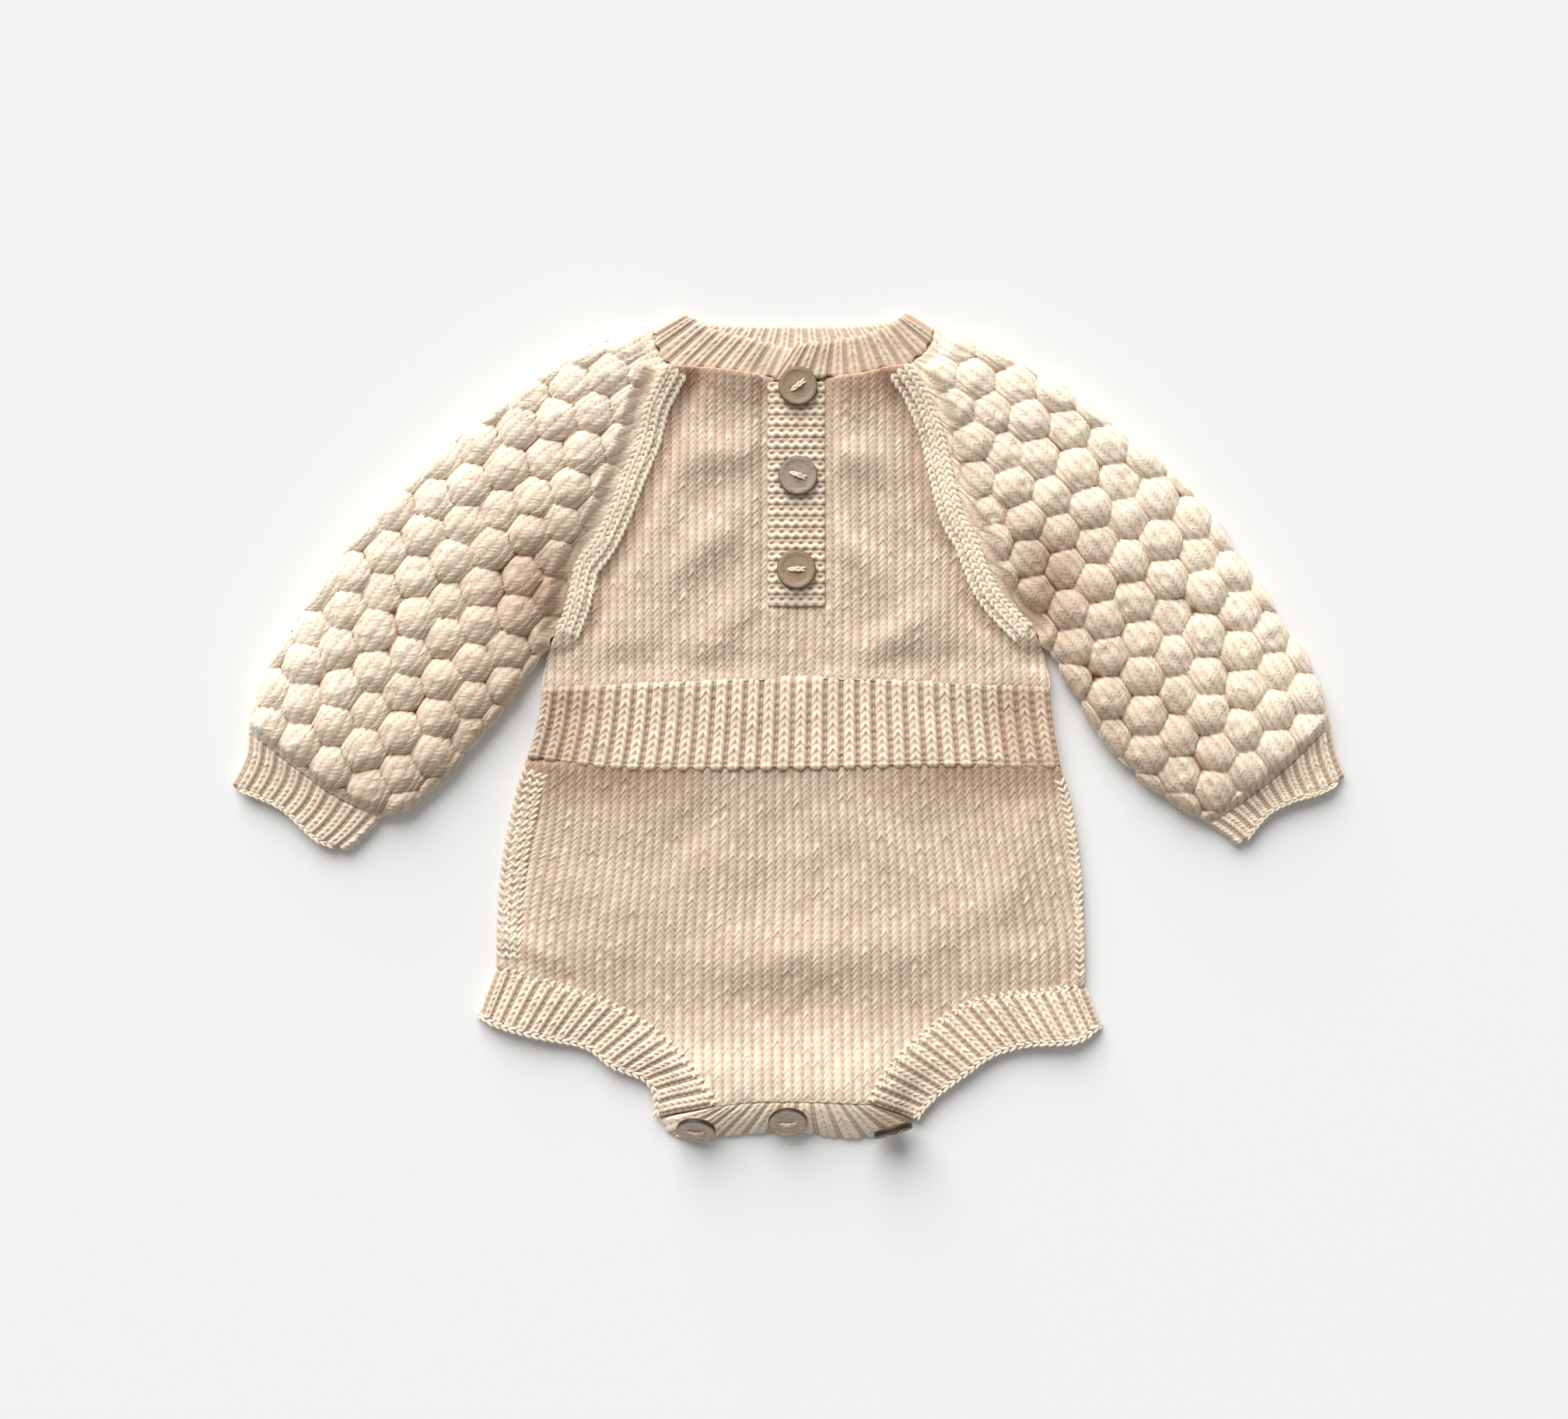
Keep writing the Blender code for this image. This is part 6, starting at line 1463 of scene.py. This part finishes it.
def coconut(name, light, dark, turn):
    """Turned and polished coconut shell, which shows streaks of grain, dark pores and a darker rim.

    The streaks are 0.7 mm wide and 4 mm long, the pores about 1 mm apart.
    """
    made, out = new_material(name)
    tree = made.node_tree
    place = add(tree, "ShaderNodeTexCoord").outputs["Object"]
    stretched = add(tree, "ShaderNodeMapping", {"Vector": place, "Rotation": (0.0, 0.0, turn),
                                                "Scale": (260.0, 1500.0, 400.0)})
    grain = add(tree, "ShaderNodeTexNoise", {"Vector": stretched.outputs[0], "Scale": 1.0, "Detail": 3.0,
                                             "Distortion": 0.6})
    pores = add(tree, "ShaderNodeTexNoise", {"Vector": place, "Scale": 900.0, "Detail": 1.0})
    rim_tone = add(tree, "ShaderNodeAttribute", attribute_name="strand")
    streak = add(tree, "ShaderNodeMapRange", {"Value": grain.outputs["Fac"], "From Min": 0.1,
                                              "From Max": 0.5})
    pore = add(tree, "ShaderNodeMapRange", {"Value": pores.outputs["Fac"], "From Min": 0.66, "From Max": 0.72,
                                            "To Min": 1.0, "To Max": 0.62})
    both = add(tree, "ShaderNodeMath", {0: streak.outputs[0], 1: pore.outputs[0]}, operation="MULTIPLY")
    rimmed = add(tree, "ShaderNodeMath", {0: both.outputs[0], 1: rim_tone.outputs["Fac"]},
                 operation="MULTIPLY")
    colour = add(tree, "ShaderNodeMix", {"Factor": rimmed.outputs[0], "A": linear(dark), "B": linear(light)},
                 data_type="RGBA")
    bump = add(tree, "ShaderNodeBump", {"Height": grain.outputs["Fac"], "Strength": 0.25,
                                        "Distance": 0.00015})
    shader = add(tree, "ShaderNodeBsdfPrincipled", {"Base Color": colour.outputs["Result"], "Roughness": 0.5,
                                                    "Specular IOR Level": 0.4, "Normal": bump.outputs[0]})
    tree.links.new(shader.outputs["BSDF"], out.inputs["Surface"])
    return made


def circle(radius, segments, x=0.0):
    """Plan points of a circle whose middle lies at x, anticlockwise."""
    angles = np.linspace(0, 2 * np.pi, segments, endpoint=False)
    return np.stack([x + radius * np.cos(angles), radius * np.sin(angles)], 1)


def turned(points, degrees, a, b):
    """The points turned from axis a toward axis b."""
    c, s = math.cos(math.radians(degrees)), math.sin(math.radians(degrees))
    points = points.copy()
    points[:, a], points[:, b] = points[:, a] * c - points[:, b] * s, points[:, a] * s + points[:, b] * c
    return points


def dress_button(name, x, y, z, tilt, turn, spin, light, dark, grain):
    """A disc with a dished face, eased edges and two holes, and two strands of yarn from hole to hole."""
    half, radius, n, h = BUTTON_THICK / 2, BUTTON_WIDTH / 2, 64, 20
    # Radius, height and tone of each ring from the face over the eased edge to the back.
    edges = [(radius - 0.75, half, 0.9), (radius - 0.25, half - 0.2, 0.35), (radius, half - 0.75, 0.03),
             (radius, 0.7 - half, 0.03), (radius - 0.5, -half, 0.5)]
    holes = [circle(BUTTON_HOLE / 2 + 0.25, h, side * HOLE_SPREAD / 2) for side in (-1, 1)]
    inner, cap = fill(circle(edges[0][0], n), 0.9, holes)
    far = np.linalg.norm(inner, axis=1)
    dish = half - 0.45 * smooth((radius - 1.6 - far) / 1.2)
    below, base = fill(circle(edges[-1][0], n), 3.0, holes)
    points = [np.column_stack([circle(r, n), np.full(n, level)]) for r, level, _ in edges]
    points += [np.column_stack([inner, dish]), np.column_stack([below, np.full(len(below), -half)])]
    # The walls of the holes start a little inside the eased lip.
    walls = [np.column_stack([circle(BUTTON_HOLE / 2, h, side * HOLE_SPREAD / 2), np.full(h, level)])
             for side in (-1, 1) for level in (half - 0.75, -half)]
    points = np.vstack(points + walls)
    tone = np.concatenate([np.repeat([t for _, _, t in edges], n), np.full(len(inner), 1.0),
                           np.full(len(below), 0.8), np.full(4 * h, 0.2)])
    k, after = np.arange(n), (np.arange(n) + 1) % n
    faces = np.vstack([np.stack([k + ring + n, after + ring + n, after + ring, k + ring], 1)
                       for ring in range(0, 4 * n, n)]).tolist()
    faces += np.where(cap < n, cap, cap + 4 * n).tolist()
    low_first = 5 * n + len(inner)
    faces += np.where(base < n, base + 4 * n, base - n + low_first)[:, ::-1].tolist()
    k, after, wall_first = np.arange(h), (np.arange(h) + 1) % h, low_first + len(below)
    for hole in range(2):
        lip = low_first - (2 - hole) * h
        foot = wall_first - (2 - hole) * h
        top_wall, low_wall = wall_first + 2 * hole * h, wall_first + (2 * hole + 1) * h
        for a, b in ((lip, top_wall), (top_wall, low_wall), (low_wall, foot)):
            faces += np.stack([a + k, a + after, b + after, b + k], 1).tolist()
    stitch_path = np.column_stack([np.linspace(-HOLE_SPREAD / 2 - 1.0, HOLE_SPREAD / 2 + 1.0, 9), np.zeros(9),
                                   half - 0.55 + 1.0 * np.sin(np.linspace(0, np.pi, 9))])
    thread = chain(stitch_path, np.tile([0.0, 0.0, 1.0], (9, 1)), 2.4, 14.0, (3.9, 1.3, 1.3), 0.45, 7)

    def placed(local):
        """The holes are turned first, then the disc leans over and turns about the upright."""
        return turned(turned(turned(local, spin, 0, 1), tilt, 1, 2), turn, 0, 1) + np.array([x, y, z])

    shell = coconut("coconut_shell_" + name.removeprefix("button_"), light, dark, grain)
    make_piece(name + "_disc", [(placed(points), tone, faces), (placed(thread[0]), *thread[1:])],
               [shell, cotton_knit], name)


for button, values in BUTTONS.items():
    dress_button(button, *values)
